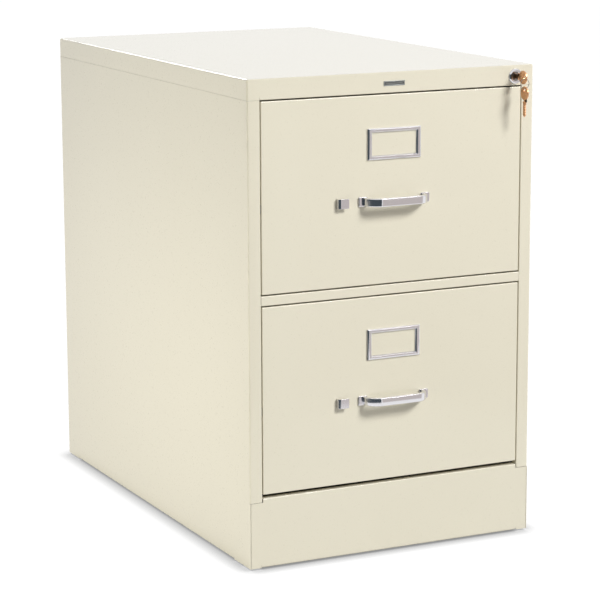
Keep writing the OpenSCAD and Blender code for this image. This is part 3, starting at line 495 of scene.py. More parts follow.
lock_low, lock_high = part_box("lock_housing")
lock_x, lock_z = (lock_low.x + lock_high.x) / 2, (lock_low.z + lock_high.z) / 2
lock_body_r = (lock_high.x - lock_low.x) / 2 - LOCK_SHOULDER
x0, x1, y0, y1, z0, z1 = box_corners("top_panel")
return_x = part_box("side_panel_right")[0].x
skirt = [(x, y0, z) for x, z in (
    (x0, z0), *relieved(-return_x, return_x, z0), (x1, z0), (x1, z1), (x0, z1))]
lock_hole = round_hole((lock_x, y0, lock_z), lock_body_r + LOCK_HOLE_GAP, X, Z, 40)
folded_sheet("top_cap", "case", "top_panel", [
    (oblong((x0, x1), (y0, y1), z1), Z), (skirt, -Y, lock_hole),
    (oblong(x0, (y0, y1), (z0, z1)), -X), (oblong(x1, (y0, y1), (z0, z1)), X),
    (oblong((x0, x1), y1, (z0, z1)), Y),
    (oblong((-return_x, return_x), (y0, y0 + CAP_RETURN), z0), -Z)],
    fold=CAP_FOLD, crisp=[(-Y, -Z)])


# --- Base, rails and back ---
# The kick panel at the front, with its tongue up between the stiles, the rail between the drawers,
# the rail along the bottom of the back, and the back itself: all folded sheet, welded in place.

GLIDE_R, GLIDE_HOLE_R = 0.014, 0.0041
TONGUE_GAP = 0.0012
TONGUE_EASE = 0.0010  # the tongue's fold is drawn down this far below the lower drawer
BASE_FLANGE, RAIL_FLANGE, REAR_FLANGE_TOP = 0.012, 0.016, 0.024
RAIL_FOLD, REAR_FOLD = 0.0010, 0.0018
POST_WEB_IN = 0.0172  # the bottom flange ends this far inside the posts' outer faces

glide_low, glide_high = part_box("floor_glides")
glide_x, glide_y0, glide_y1 = (
    glide_high.x - GLIDE_R, glide_low.y + GLIDE_R, glide_high.y - GLIDE_R)


def glide_holes(y, z):
    return [round_hole((side * glide_x, y, z), GLIDE_HOLE_R, X, Y, 24) for side in (-1, 1)]


x0, x1, y0, y1, z0, z1 = box_corners("base_front_panel")
shoulder, tongue_x = z1 - TONGUE, return_x - TONGUE_GAP
z1 -= TONGUE_EASE
flange_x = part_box("front_posts")[1].x - POST_WEB_IN
face = [(x, y0, z) for x, z in (
    (x0, z0), *relieved(-flange_x, flange_x, z0), (x1, z0), (x1, shoulder), (tongue_x, shoulder),
    (tongue_x, z1), (-tongue_x, z1), (-tongue_x, shoulder), (x0, shoulder))]
folded_sheet("kick_panel", "case", "base_front_panel", [
    (face, -Y), (oblong((-tongue_x, tongue_x), (y0, y0 + BASE_FLANGE), z1), Z),
    (oblong((-flange_x, flange_x), (y0, y1), z0), -Z, *glide_holes(glide_y0, z0))],
    crisp=[(-Y, Z)])

x0, x1, y0, y1, z0, z1 = box_corners("divider_rail")
web, leaf = (SEAM / 2 - return_x, return_x - SEAM / 2), (y0, y0 + RAIL_FLANGE)
folded_sheet("drawer_rail", "case", "divider_rail", [
    (oblong(web, y0, (z0, z1)), -Y), (oblong(web, leaf, z1), Z), (oblong(web, leaf, z0), -Z)],
    fold=RAIL_FOLD)

x0, x1, y0, y1, z0, z1 = box_corners("base_rear_rail")
folded_sheet("rear_rail", "case", "base_rear_rail", [
    (oblong((x0, x1), y1, (z0, z1)), Y), (oblong((x0, x1), (y1, y1 - REAR_FLANGE_TOP), z1), Z),
    (oblong((x0, x1), (y1, y0), z0), -Z, *glide_holes(glide_y1, z0))], fold=REAR_FOLD)

x0, x1, y0, y1, z0, z1 = box_corners("back_panel")
folded_sheet("back_skin", "case", "back_panel", [(oblong((x0, x1), y1, (z0, z1)), Y)])


# Spot welds along the edges of the back, each a shallow round print of the electrode under the
# enamel. One tree lays them along the lines that it is given, at an even pitch.

WELD_R, WELD_RISE, WELD_PITCH = 0.0028, 0.00022, 0.0565
WELD_TOP = 0.72  # the print's flat top against its foot
WELD_IN, WELD_END = 0.011, 0.02


class Tree(Graph):
    """A Geometry Nodes tree, with its inputs as signals."""

    def __init__(self, name, **kinds):
        self.tree = bpy.data.node_groups.new(name, "GeometryNodeTree")
        self.inputs = {}
        for key, kind in {"Shape": "Geometry", **kinds}.items():
            socket = self.tree.interface.new_socket(
                name=key, in_out="INPUT", socket_type="NodeSocket" + kind)
            self.inputs[key] = socket.identifier
        self.tree.interface.new_socket(
            name="Shape", in_out="OUTPUT", socket_type="NodeSocketGeometry")
        self.given = {socket.name: Signal(self, socket)
                      for socket in self.tree.nodes.new("NodeGroupInput").outputs}

    def row(self, instance, turn, finish):
        """Instances along the given curve, a pitch apart."""
        spots = self.node("GeometryNodeCurveToPoints", {"mode": "LENGTH"}, {
            "Curve": self.given["Shape"], "Length": self.given["Pitch"]})
        self.end(self.node("GeometryNodeInstanceOnPoints", {}, {
            "Points": spots, "Instance": instance, "Rotation": turn}), finish)

    def sweep(self, curve, profile, finish):
        self.end(self.node("GeometryNodeCurveToMesh", {}, {
            "Curve": curve, "Profile Curve": profile, "Fill Caps": True}), finish)

    def end(self, shape, finish):
        """Realizes the instances, sets the material, and closes the tree."""
        real = self.node("GeometryNodeRealizeInstances", {}, {0: shape})
        self.node("NodeGroupOutput", {}, {0: self.node("GeometryNodeSetMaterial", {}, {
            "Geometry": real, "Material": finish.material})})

    def make(self, name, data, **values):
        """Runs the tree on a curve or mesh and gives the result as a plain mesh object."""
        maker = linked(name, data)
        modifier = maker.modifiers.new(name, "NODES")
        modifier.node_group = self.tree
        for key, value in values.items():
            modifier[self.inputs[key]] = value
        mesh = plain_mesh(maker)
        bpy.data.objects.remove(maker)
        return linked(name, mesh)


def lines(name, *paths, closed=False):
    """A curve with one straight-sided spline for each list of points."""
    curve = bpy.data.curves.new(name, "CURVE")
    curve.dimensions = "3D"
    for path in paths:
        spline = curve.splines.new("POLY")
        spline.points.add(len(path) - 1)
        for point, place in zip(spline.points, path):
            point.co = (*place, 1.0)
        spline.use_cyclic_u = closed
    return curve


welds = Tree("spot_welds", Pitch="Float", Radius="Float", Rise="Float")
disc = welds.node("GeometryNodeMeshCone", {"fill_type": "TRIANGLE_FAN"}, {
    "Vertices": 14, "Side Segments": 1, "Fill Segments": 1, "Depth": welds.given["Rise"],
    "Radius Bottom": welds.given["Radius"],
    "Radius Top": welds.given["Radius"] * WELD_TOP})
welds.row(disc, welds.node("FunctionNodeEulerToRotation", {}, {0: (-math.pi / 2, 0.0, 0.0)}), putty)
back_spots = welds.make("back_welds", lines("back_weld_lines", *[
    [(x, y1, z0 + WELD_END), (x, y1, z1 - WELD_END)] for x in (x0 + WELD_IN, x1 - WELD_IN)]),
    Pitch=WELD_PITCH, Radius=WELD_R, Rise=WELD_RISE)
new_piece("back_welds", back_spots, putty, "case")


# --- Frame posts and stiffener ---
# Four posts and the stiffener under the cap are folded from bare galvanised strip. Their zinc shows
# a faint frost of crystals. The same strip is rolled into the runners.

def eased(part, width, segments, angle):
    """Rounds the edges that turn by more than angle, in degrees, and settles the part."""
    if width:
        edge = part.modifiers.new("edge", "BEVEL")
        edge.limit_method, edge.angle_limit = "ANGLE", math.radians(angle)
        edge.width, edge.segments = width, segments
    return settled(part)


def softened(name, node, finish, body, width=0.0004, segments=2):
    """A CAD node as a piece, with its edges slightly rounded."""
    work = bmesh.new()
    work.from_mesh(frame["nodes"][node].data)
    bmesh.ops.remove_doubles(work, verts=work.verts, dist=1e-6)
    bmesh.ops.dissolve_limit(
        work, angle_limit=0.02, verts=work.verts, edges=work.edges, delimit={"NORMAL"})
    new_piece(name, eased(in_scene(work), width, segments, 35), finish, body, node)


def galvanised(name, colour):
    coat = Finish(name)
    crystals = coat.node("ShaderNodeTexVoronoi", {"feature": "SMOOTH_F1"}, {
        "Vector": coat.place(), "Scale": 240.0, "Smoothness": 0.3}, output="Color")
    frost = coat.node("ShaderNodeSeparateColor", {}, {0: crystals})
    haze = coat.noise(22.0, 3.0)
    tone = coat.blend((frost * 0.6 + haze * 0.4).limit(), lit(colour, 0.88), lit(colour, 1.05))
    return coat.surface(
        "zinc_steel", Base_Color=tone, Metallic=1.0,
        Roughness=(frost - 0.5) * 0.12 + (haze - 0.5) * 0.10 + 0.38,
        Normal=coat.bump(coat.noise(700.0, 2.0), 0.00001, 0.4))


zinc = galvanised("galvanised_zinc", srgb(186, 189, 192))
softened("front_post_pair", "front_posts", zinc, "case")
softened("rear_post_pair", "rear_posts", zinc, "case")
softened("cap_stiffener", "top_stiffener", zinc, "case")


# --- Floor glides ---
# Four screw-in glides carry the cabinet: a round moulded nylon foot on a threaded steel stem that
# goes up through the base flange, with a hexagon nut against it.

def turned_part(profile, sides=40):
    """A closed outline of (radius, height) points turned round the Z axis, as a bmesh."""
    work = bmesh.new()
    rings = []
    for radius, height in profile:
        if radius < 1e-7:
            rings.append([work.verts.new((0.0, 0.0, height))])
        else:
            rings.append([work.verts.new((x, y, height))
                          for x, y in round_outline(radius, sides)])
    for first, second in zip(rings, rings[1:] + rings[:1]):
        for i in range(sides):
            corners = [first[i % len(first)], first[(i + 1) % len(first)],
                       second[(i + 1) % len(second)], second[i % len(second)]]
            corners = [v for n, v in enumerate(corners) if v not in corners[:n]]
            if len(corners) > 2:
                work.faces.new(corners)
    bmesh.ops.recalc_face_normals(work, faces=work.faces)
    return work


def joined(placed, sharp=35.0):
    """One mesh object of several bmesh parts, each put in place by its matrix."""
    total = bmesh.new()
    for work, place in placed:
        part = bpy.data.meshes.new("part")
        work.to_mesh(part)
        part.transform(place)
        total.from_mesh(part)
        bpy.data.meshes.remove(part)
    made = in_scene(total)
    shade(made.data, sharp)
    return made


def moulded_resin(name, colour):
    resin = Finish(name)
    cloud = resin.noise(60.0, 3.0)
    tone = resin.blend(cloud, colour, lit(colour, 0.90))
    return resin.surface(
        "nylon", Base_Color=tone, Roughness=(resin.noise(400.0) - 0.5) * 0.16 + 0.44,
        Normal=resin.bump(resin.noise(1100.0, 2.0), 0.00002, 0.4), IOR=1.53)


nylon = moulded_resin("moulded_nylon", srgb(226, 224, 214))
pad_h = kick_low.z
STEM_R, THREAD_DEEP, THREAD_STEPS = 0.004, 0.0005, 22


def thread(radius, start, length):
    return [(radius - THREAD_DEEP * (i % 2), start + length * i / THREAD_STEPS)
            for i in range(THREAD_STEPS + 1)]


foot_profile = [(0.0, 0.0), (GLIDE_R - 0.0012, 0.0), (GLIDE_R - 0.0003, 0.0004),
                (GLIDE_R, 0.0012), (GLIDE_R - 0.0006, pad_h - 0.0006), (GLIDE_R - 0.0016, pad_h),
                (0.0, pad_h)]
stem_profile = [
    (0.0, pad_h), *thread(STEM_R, pad_h, glide_high.z - pad_h), (0.0, glide_high.z)]
glide_places = [Matrix.Translation((x, y, 0.0))
                for x in (-glide_x, glide_x) for y in (glide_y0, glide_y1)]
new_piece("glide_feet", joined([(turned_part(foot_profile), m) for m in glide_places]), nylon,
          "case", "floor_glides")
nut = turned_part([(STEM_R, 0.0), (0.0072, 0.0), (0.0076, 0.0005), (0.0076, 0.0045),
                   (0.0072, 0.005), (STEM_R, 0.005)], 6)
nut_lift = Matrix.Translation((0.0, 0.0, pad_h + SHEET))
new_piece("glide_stems", joined([
    *[(turned_part(stem_profile, 20), m) for m in glide_places],
    *[(nut, m @ nut_lift) for m in glide_places]]), zinc, "case")


# --- Runners ---
# Each drawer rides on a pair of three-member runners: a channel fixed to the posts, a cradle that
# goes half as far as the drawer, and a strip on the drawer itself, all rolled from zinc strip.

DRAWERS = ("upper", "lower")
for drawer in DRAWERS:
    softened(drawer + "_channel_pair", drawer + "_case_channels", zinc, "case")
    softened(drawer + "_cradle_pair", drawer + "_cradles", zinc, drawer + "_cradle")
    softened(drawer + "_runner_pair", drawer + "_runners", zinc, drawer + "_drawer")


# The rubber buffers in the rear ends of the case channels stop the cradles.
def dusty_rubber(name, colour, dusty):
    mix = Finish(name)
    dust = mix.noise(180.0, 4.0, 0.7)
    return mix.surface(
        "rubber", Base_Color=mix.blend(dust, colour, dusty),
        Roughness=(dust - 0.5) * 0.2 + 0.78, Normal=mix.bump(mix.noise(900.0), 0.00003, 0.5))


rubber = dusty_rubber("buffer_rubber", srgb(38, 38, 38), srgb(58, 57, 55))
softened("runner_buffers", "channel_stops", rubber, "case", 0.0010, 3)

# The rollers are moulded nylon, with a raised hub, a dished web and a rounded tread, and each turns
# on an axle that is headed over like a rivet.
AXLE_BORE = 0.00256
ROLLERS = ("drawer_rollers", "cradle_rear_rollers", "cradle_front_rollers", "case_rollers")
across = Matrix.Rotation(math.pi / 2, 4, "Y")


def roller_profile(radius, bore, width):
    hub, rim, dish, soft = bore + 0.0012, radius - 0.0014, 0.0009, 0.0005
    face = [(bore, 0.0), (hub, 0.0), (hub + soft, dish), (rim - soft, dish), (rim, 0.0),
            (radius - soft, 0.0), (radius, soft)]
    return face + [(r, width - h) for r, h in reversed(face)]


for drawer in DRAWERS:
    for kind in ROLLERS:
        node = drawer + "_" + kind
        low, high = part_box(node)
        middle = (low + high) / 2
        in_x = min(v.co.x for v in frame["nodes"][node].data.vertices if v.co.x > 0)
        wheel = roller_profile((high.z - low.z) / 2, AXLE_BORE, high.x - in_x)
        wheels = joined([
            (turned_part(wheel), Matrix.Translation((x, middle.y, middle.z)) @ across)
            for x in (in_x, -high.x)])
        new_piece(drawer + "_nylon_" + kind, wheels, nylon, node, node)


# --- Drawer fronts ---
# Each front is a hollow pan of folded sheet, set flush between the stiles. It is pierced for the
# thumb latch's stem, and on its left edge for the latch bolt. An inner panel closes it behind.

DRAWER_SHEET, FRONT_FOLD = 0.0008, 0.0011
EDGE_EASE = 0.0006  # the folds are drawn in this far at the front's top and bottom
STEM_SLOT_H, STEM_SLOT_IN, STEM_SLOT_END = 0.0090, 0.0005, 0.006
BOLT_HOLE_H, BOLT_HOLE_FRONT, BOLT_HOLE_BACK = 0.0140, 0.0010, 0.0060


def travel(joint):
    """How far a slide goes."""
    return max(j["range_m"][1] for j in frame["joints"] if j["name"] == joint)


for drawer in DRAWERS:
    x0, x1, y0, y1, z0, z1 = box_corners(drawer + "_drawer_front")
    z0, z1 = z0 + EDGE_EASE, z1 - EDGE_EASE
    tab_low, tab_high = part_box(drawer + "_latch_tab")
    bar_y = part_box(drawer + "_latch_bar")[0].y
    mid_z = (tab_low.z + tab_high.z) / 2
    stem_slot = oblong(
        (tab_low.x + STEM_SLOT_IN, tab_low.x + STEM_SLOT_END + travel(drawer + "_latch_slide")), y0,
        (mid_z - STEM_SLOT_H / 2, mid_z + STEM_SLOT_H / 2))
    bolt_hole = oblong(x0, (bar_y - BOLT_HOLE_FRONT, bar_y + BOLT_HOLE_BACK),
                       (mid_z - BOLT_HOLE_H / 2, mid_z + BOLT_HOLE_H / 2))
    folded_sheet(drawer + "_front", drawer + "_drawer", drawer + "_drawer_front", [
        (oblong((x0, x1), y0, (z0, z1)), -Y, stem_slot),
        (oblong(x0, (y0, y1), (z0, z1)), -X, bolt_hole), (oblong(x1, (y0, y1), (z0, z1)), X),
        (oblong((x0, x1), (y0, y1), z1), Z), (oblong((x0, x1), (y0, y1), z0), -Z)],
        DRAWER_SHEET, FRONT_FOLD)
    softened(drawer + "_front_liner", drawer + "_inner_panel", putty, drawer + "_drawer", 0.0003)


# --- Drawer bodies ---
# The bottom and both sides of a drawer are one sheet. The tops of the sides turn outwards as rims
# for hanging folders, the bottom is slotted for the follower, and a low back is welded in.

BODY_FOLD, RIM_LIP = 0.0014, 0.006
GUIDE_HALF, GUIDE_FRONT, GUIDE_BACK = 0.004, 0.002, 0.042
for drawer in DRAWERS:
    x0, x1, y0, y1, z0, z1 = box_corners(drawer + "_tray")
    in_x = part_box(drawer + "_drawer_back")[1].x
    floor_z = z0 + DRAWER_SHEET
    foot_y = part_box(drawer + "_follower")[0].y
    guide = oblong((-GUIDE_HALF, GUIDE_HALF), (
        foot_y - travel(drawer + "_follower_slide") - GUIDE_FRONT, foot_y + GUIDE_BACK), floor_z)
    faces = [(oblong((-in_x, in_x), (y0, y1), floor_z), Z, guide)]
    for side in (-1, 1):
        wall_x, rim_x = side * in_x, side * x1
        faces += [(oblong(wall_x, (y0, y1), (floor_z, z1)), -side * X),
                  (oblong((wall_x, rim_x), (y0, y1), z1, y_first=True), Z),
                  (oblong(rim_x, (y0, y1), (z1, z1 - RIM_LIP)), side * X)]
    folded_sheet(drawer + "_body", drawer + "_drawer", drawer + "_tray", faces, DRAWER_SHEET,
                 BODY_FOLD)

    x0, x1, y0, y1, z0, z1 = box_corners(drawer + "_drawer_back")
    folded_sheet(drawer + "_low_back", drawer + "_drawer", drawer + "_drawer_back", [
        (oblong((x0, x1), y1, (z0, z1)), Y), (oblong((x0, x1), (y1, y0), z1), Z)],
        DRAWER_SHEET, BODY_FOLD)

# Pop rivets through the sides of the drawer hold the runner strips, their domed heads inside.
RIVET_R, RIVET_RISE, RIVET_PITCH, RIVET_END = 0.0030, 0.0011, 0.1235, 0.03
rivets = Tree("rivet_row", Pitch="Float", Radius="Float", Rise="Float", Turn="Rotation")
ball = rivets.node("GeometryNodeMeshUVSphere", {}, {
    "Segments": 20, "Rings": 10, "Radius": rivets.given["Radius"]})
flatness = rivets.given["Rise"] / rivets.given["Radius"]
dome = rivets.node("GeometryNodeTransform", {}, {
    0: ball, "Scale": rivets.node("ShaderNodeCombineXYZ", {}, {0: 1.0, 1: 1.0, 2: flatness})})
rivets.row(dome, rivets.given["Turn"], zinc)

for drawer in DRAWERS:
    strip_low, strip_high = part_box(drawer + "_runners")
    in_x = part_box(drawer + "_drawer_back")[1].x
    path = [[(side * in_x, y, (strip_low.z + strip_high.z) / 2)
             for y in (strip_low.y + RIVET_END, strip_high.y - RIVET_END)] for side in (-1, 1)]
    row = rivets.make(drawer + "_rivets", lines("rivet_line", *path), Pitch=RIVET_PITCH,
                      Radius=RIVET_R, Rise=RIVET_RISE, Turn=(0.0, math.pi / 2, 0.0))
    row.data.shade_smooth()
    new_piece(drawer + "_rivets", row, zinc, drawer + "_drawer")


# --- Handles ---
# Each drawer has a die-cast bail handle, polished and chromed: a bar with a shallow ridge along its
# face, bent round at both ends into legs that stand on thin rectangular feet.

def polished(name, slot, colour, smear):
    plate = Finish(name)
    haze = plate.noise(35.0, 4.0, 0.6)
    fine = plate.noise(900.0, 2.0)
    tone = plate.blend(haze, colour, lit(colour, 0.96))
    return plate.surface(
        slot, Base_Color=tone, Metallic=1.0, Roughness=haze * smear + 0.07,
        Normal=plate.bump(fine, 0.000004, 0.3))


chrome = polished("chrome_plate", "chrome", srgb(222, 221, 224), 0.08)


def cut_plate(outline, place, depth, rounding=0.0, segments=2, holes=(), axes=(X, Z, -Y)):
    """A plate cut to an outline with holes in the plane of the first two axes. Its face is at place
    and looks along the third, and its depth goes behind the face."""
    across, up, out = axes
    work = bmesh.new()
    loops = [[across * a + up * b for a, b in loop] for loop in (outline, *holes)]
    flat = [p for loop in loops for p in loop]
    triangles = tessellate_polygon(loops)
    layers = []
    for shift in (Vector((0, 0, 0)), -out * depth):
        points = [work.verts.new(p + shift) for p in flat]
        layers.append(points)
        for triangle in triangles:
            work.faces.new([points[i] for i in triangle])
    start = 0
    for loop in loops:
        for i in range(len(loop)):
            a, b = start + i, start + (i + 1) % len(loop)
            work.faces.new([layers[0][a], layers[0][b], layers[1][b], layers[1][a]])
        start += len(loop)
    bmesh.ops.recalc_face_normals(work, faces=work.faces)
    bmesh.ops.dissolve_limit(
        work, angle_limit=0.005, verts=work.verts, edges=work.edges, delimit={"NORMAL"})
    plate = eased(in_scene(work), rounding, segments, 40)
    plate.data.transform(Matrix.Translation(place))
    return plate


def rectangle(width, height, centre=(0.0, 0.0), corner=0.0, steps=0):
    """The outline of a rectangle, its corners rounded in this many steps."""
    outline = []
    for i, (sx, sy) in enumerate(((1, 1), (-1, 1), (-1, -1), (1, -1))):
        cx, cy = sx * (width / 2 - corner), sy * (height / 2 - corner)
        for k in range(steps + 1):
            a = math.pi / 2 * (i + k / max(steps, 1))
            outline.append((centre[0] + cx + corner * math.cos(a),
                            centre[1] + cy + corner * math.sin(a)))
    return outline


def merged(*parts):
    """Several finished mesh objects made one, with their shading kept."""
    total = bmesh.new()
    for part in parts:
        total.from_mesh(part.data)
        bpy.data.meshes.remove(part.data)
    made = in_scene(total)
    made.data.set_sharp_from_angle(angle=math.radians(35))
    return made


bars = Tree("bent_bar", Corner="Float", Section="Object")
bent = bars.node("GeometryNodeFilletCurve", {"mode": "POLY"}, {
    "Curve": bars.given["Shape"], "Count": 16, "Radius": bars.given["Corner"]})
cut = bars.node("GeometryNodeObjectInfo", {}, {"Object": bars.given["Section"]}, output="Geometry")
bars.sweep(bent, cut, chrome)

BAR_T, CORNER_R = 0.0070, 0.0220
FOOT_T, FOOT_OUT, FOOT_MARGIN, FOOT_CORNER, FOOT_EDGE = 0.0025, 0.0070, 0.0008, 0.0020, 0.0016
# the bar's section, from its back to its ridge, and from its bottom to its top
BAR_SECTION = [(-3.5, -4.4), (-3.3, -5.3), (-2.7, -5.9), (-1.8, -6.25), (1.2, -6.25), (1.9, -6.05),
               (2.35, -5.55), (3.15, -1.2), (3.38, -0.2), (3.5, 0.5), (3.4, 1.2), (3.2, 1.9),
               (2.35, 5.2), (2.0, 5.8), (1.3, 6.2), (0.6, 6.25), (-1.8, 6.25), (-2.7, 5.9),
               (-3.3, 5.3), (-3.5, 4.4)]
section = lines("bar_section", [(-r / 1000, z / 1000, 0.0) for r, z in BAR_SECTION], closed=True)
section_object = linked("bar_section", section)

for drawer in DRAWERS:
    low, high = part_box(drawer + "_handle")
    mid_z, leg_x = (low.z + high.z) / 2, high.x - FOOT_OUT - BAR_T / 2
    bar_y, foot_y = low.y + BAR_T / 2, high.y - FOOT_T / 2
    path = [(-leg_x, foot_y, mid_z), (-leg_x, bar_y, mid_z), (leg_x, bar_y, mid_z),
            (leg_x, foot_y, mid_z)]
    bar = bars.make(drawer + "_bar", lines("bar_path", path), Corner=CORNER_R - BAR_T / 2,
                    Section=section_object)
    shade(bar.data)
    foot_w = FOOT_OUT + BAR_T + FOOT_MARGIN
    feet = [cut_plate(rectangle(
        foot_w, high.z - low.z, (side * (high.x - foot_w / 2), mid_z), FOOT_CORNER, 4),
        (0.0, high.y - FOOT_T, 0.0), FOOT_T, FOOT_EDGE, 4) for side in (-1, 1)]
    new_piece(drawer + "_bail_handle", merged(bar, *feet), chrome, drawer + "_drawer",
              drawer + "_handle")
bpy.data.objects.remove(section_object)


# --- Label frames ---
# A chromed moulding, mitred at its four corners, is fixed flat on the front. Its section rises to a
# broad crest and falls to a thin lip round the window, with room under the lip for a card.

# across the moulding from its outer edge, and up from the drawer's front, in millimetres
MOULDING = [(0.0, 0.0), (0.0, 1.5), (0.1, 1.8), (0.35, 2.05), (1.5, 2.72), (2.1, 3.0), (2.8, 3.16),
            (3.6, 3.2), (4.6, 3.2), (5.3, 3.12), (5.8, 2.9), (6.15, 2.5), (7.0, 1.0), (7.25, 0.8),
            (7.5, 0.75), (7.5, 0.4), (6.2, 0.4), (6.0, 0.0)]
CROSS_SHARE = 0.82  # the top and bottom mouldings' width against the uprights'


def mitred_frame(low, high, section):
    """A section of (across, rise) points, in millimetres, carried round a box's back face."""
    width, height = high.x - low.x, high.z - low.z
    centre = Vector(((low.x + high.x) / 2, high.y, (low.z + high.z) / 2))
    work = bmesh.new()
    rings = []
    for across, rise in section:
        w, h = width / 2 - across / 1000, height / 2 - across / 1000 * CROSS_SHARE
        rings.append([work.verts.new(centre + Vector((x, -rise / 1000, z)))
                      for x, z in ((w, h), (-w, h), (-w, -h), (w, -h))])
    for first, second in zip(rings, rings[1:] + rings[:1]):
        for i in range(4):
            work.faces.new([first[i], first[(i + 1) % 4], second[(i + 1) % 4], second[i]])
    bmesh.ops.recalc_face_normals(work, faces=work.faces)
    made = in_scene(work)
    shade(made.data, 32.0)
    return made


for drawer in DRAWERS:
    moulding = mitred_frame(*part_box(drawer + "_label_frame"), MOULDING)
    new_piece(drawer + "_card_frame", moulding, chrome, drawer + "_drawer", drawer + "_label_frame")


# --- Thumb latches ---
# A chromed strip, curled out from the front at its left and then running flat towards the handle.
# Its stem goes through the front to the zinc latch bar, which a small coil spring pushes back.

TAB_T, TAB_BEND, TAB_OFF, BEND_STEPS = 0.0016, 0.0042, 0.0003, 12
STEM_W, STEM_H, STEM_IN = 0.003, 0.008, 0.003


def curl(radius, rise):
    return [(TAB_BEND - radius * math.cos(a), rise + TAB_BEND - radius * math.sin(a))
            for a in (math.pi / 2 * i / BEND_STEPS for i in range(BEND_STEPS + 1))]


for drawer in DRAWERS:
    low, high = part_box(drawer + "_latch_tab")
    width, rise, mid_z = high.x - low.x, low.y - front_y, (low.z + high.z) / 2
    lip = [(0.0, -TAB_OFF), *curl(TAB_BEND, rise), (width, rise), (width, rise + TAB_T),
           *reversed(curl(TAB_BEND - TAB_T, rise)), (TAB_T, -TAB_OFF)]
    tab = cut_plate([(low.x + x, front_y + y) for x, y in lip], (0.0, 0.0, high.z),
                    high.z - low.z, 0.0004, 3, axes=(X, Y, Z))
    stem = cut_plate(rectangle(STEM_W, STEM_H, (low.x + STEM_IN, mid_z)),
                     (0.0, low.y + TAB_T / 2, 0.0), high.y - low.y - TAB_T / 2, 0.0003)
    new_piece(drawer + "_thumb_latch", merged(tab, stem), chrome, drawer + "_latch",
              drawer + "_latch_tab")
    softened(drawer + "_bolt_bar", drawer + "_latch_bar", zinc, drawer + "_latch")

wire_steel = polished("spring_wire", "spring_steel", srgb(150, 152, 156), 0.25)


def coil_tree(name, steps, turn, sides):
    """A coil of round wire, turned from upright: its radius and the wire's, and its length."""
    tree = Tree(name, Turns="Float", Radius="Float", Length="Float", Wire="Float")
    helix = tree.node("GeometryNodeCurveSpiral", {}, {
        "Resolution": steps, "Rotations": tree.given["Turns"], "Start Radius": tree.given["Radius"],
        "End Radius": tree.given["Radius"], "Height": tree.given["Length"]})
    laid = tree.node("GeometryNodeTransform", {}, {0: helix, "Rotation": turn})
    tree.sweep(laid, tree.node("GeometryNodeCurvePrimitiveCircle", {}, {
        "Resolution": sides, "Radius": tree.given["Wire"]}), wire_steel)
    return tree


SPRING_TURNS, SPRING_WIRE = 4.0, 0.0008
springs = coil_tree("coil_spring", 28, (0.0, math.pi / 2, 0.0), 10)
for drawer in DRAWERS:
    low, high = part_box(drawer + "_latch_spring")
    coil = springs.make(
        drawer + "_coil", bpy.data.meshes.new("spring_seed"), Turns=SPRING_TURNS,
        Radius=(high.z - low.z - SPRING_WIRE) / 2, Length=high.x - low.x - SPRING_WIRE,
        Wire=SPRING_WIRE / 2)
    middle = (low + high) / 2
    coil.data.transform(Matrix.Translation((low.x + SPRING_WIRE / 2, middle.y, middle.z)))
    coil.data.shade_smooth()
    spring = new_piece(drawer + "_return_spring", coil, wire_steel, drawer + "_drawer",
                       drawer + "_latch_spring")
    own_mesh(spring)
    softened(drawer + "_screw_pair", drawer + "_handle_screws", zinc, drawer + "_drawer", 0.0003)


# --- Followers ---
# A follower plate of bent zinc-plated sheet slides along each drawer and holds the files upright.
# The lever on its back pivots on a pin between two ears and locks it in place.

for drawer in DRAWERS:
    softened(drawer + "_follower_plate", drawer + "_follower", zinc, drawer + "_follower", 0.0005)
    softened(drawer + "_follower_lever", drawer + "_follower_catch", chrome, drawer + "_catch",
             0.0005, 3)


# --- Lock ---
# A cam lock through the header: a chromed body with a bevelled face ring, held by a nut, and a plug
# that turns in it with the cam on its end. The cam carries the lock bar down behind the stile.

RING_STAND, PLUG_PLAY = 0.0035, 0.00008
ring_r = (lock_high.x - lock_low.x) / 2
plug_low, plug_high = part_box("lock_plug")
plug_r = (plug_high.x - plug_low.x) / 2
bore_r = plug_r + PLUG_PLAY
body_end = lock_high.y - front_y
housing = [(radius, height - RING_STAND) for radius, height in (
    (bore_r, 0.0006), (bore_r + 0.0005, 0.0001), (bore_r + 0.0011, 0.0), (ring_r - 0.0022, 0.0),
    (ring_r - 0.0014, 0.0005), (ring_r - 0.0005, 0.0019), (ring_r - 0.0001, 0.0027),
    (ring_r, 0.0032), (ring_r - 0.0002, RING_STAND), (lock_body_r, RING_STAND))]
housing += [*thread(lock_body_r, SHEET, body_end - 0.0012), (lock_body_r - 0.0008, body_end),
            (bore_r, body_end)]
to_front = Matrix.Translation((lock_x, front_y, lock_z)) @ Matrix.Rotation(-math.pi / 2, 4, "X")
new_piece("lock_body", joined([(turned_part(housing, 64), to_front)], 30.0), chrome,
          "case", "lock_housing")
softened("lock_body_nut", "lock_nut", zinc, "case", 0.0005)

BLADE_W, KEYWAY_GAP = 0.006, 0.0003
key_low, key_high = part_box("key")
key_t = key_high.x - key_low.x
keyway = rectangle(key_t + 2 * KEYWAY_GAP, BLADE_W + 2 * KEYWAY_GAP, (lock_x, lock_z))
plug_outline = round_outline(plug_r, 48, (lock_x, lock_z))
keyway_end = key_high.y + KEYWAY_GAP
barrel = cut_plate(plug_outline, (0.0, plug_low.y, 0.0), keyway_end - plug_low.y, 0.0003,
                   holes=[keyway])
tail = cut_plate(plug_outline, (0.0, keyway_end, 0.0), plug_high.y - keyway_end, 0.0002)
plug_metal = polished("plug_metal", "chrome", srgb(150, 146, 142), 0.20)
new_piece("lock_barrel", merged(barrel, tail), plug_metal, "lock_plug", "lock_plug")
softened("lock_cam_arm", "lock_cam", zinc, "lock_plug")
softened("lock_bar_strip", "lock_bar", zinc, "lock_bar")
softened("lock_bar_clips", "lock_bar_guides", nylon, "case", 0.0003)


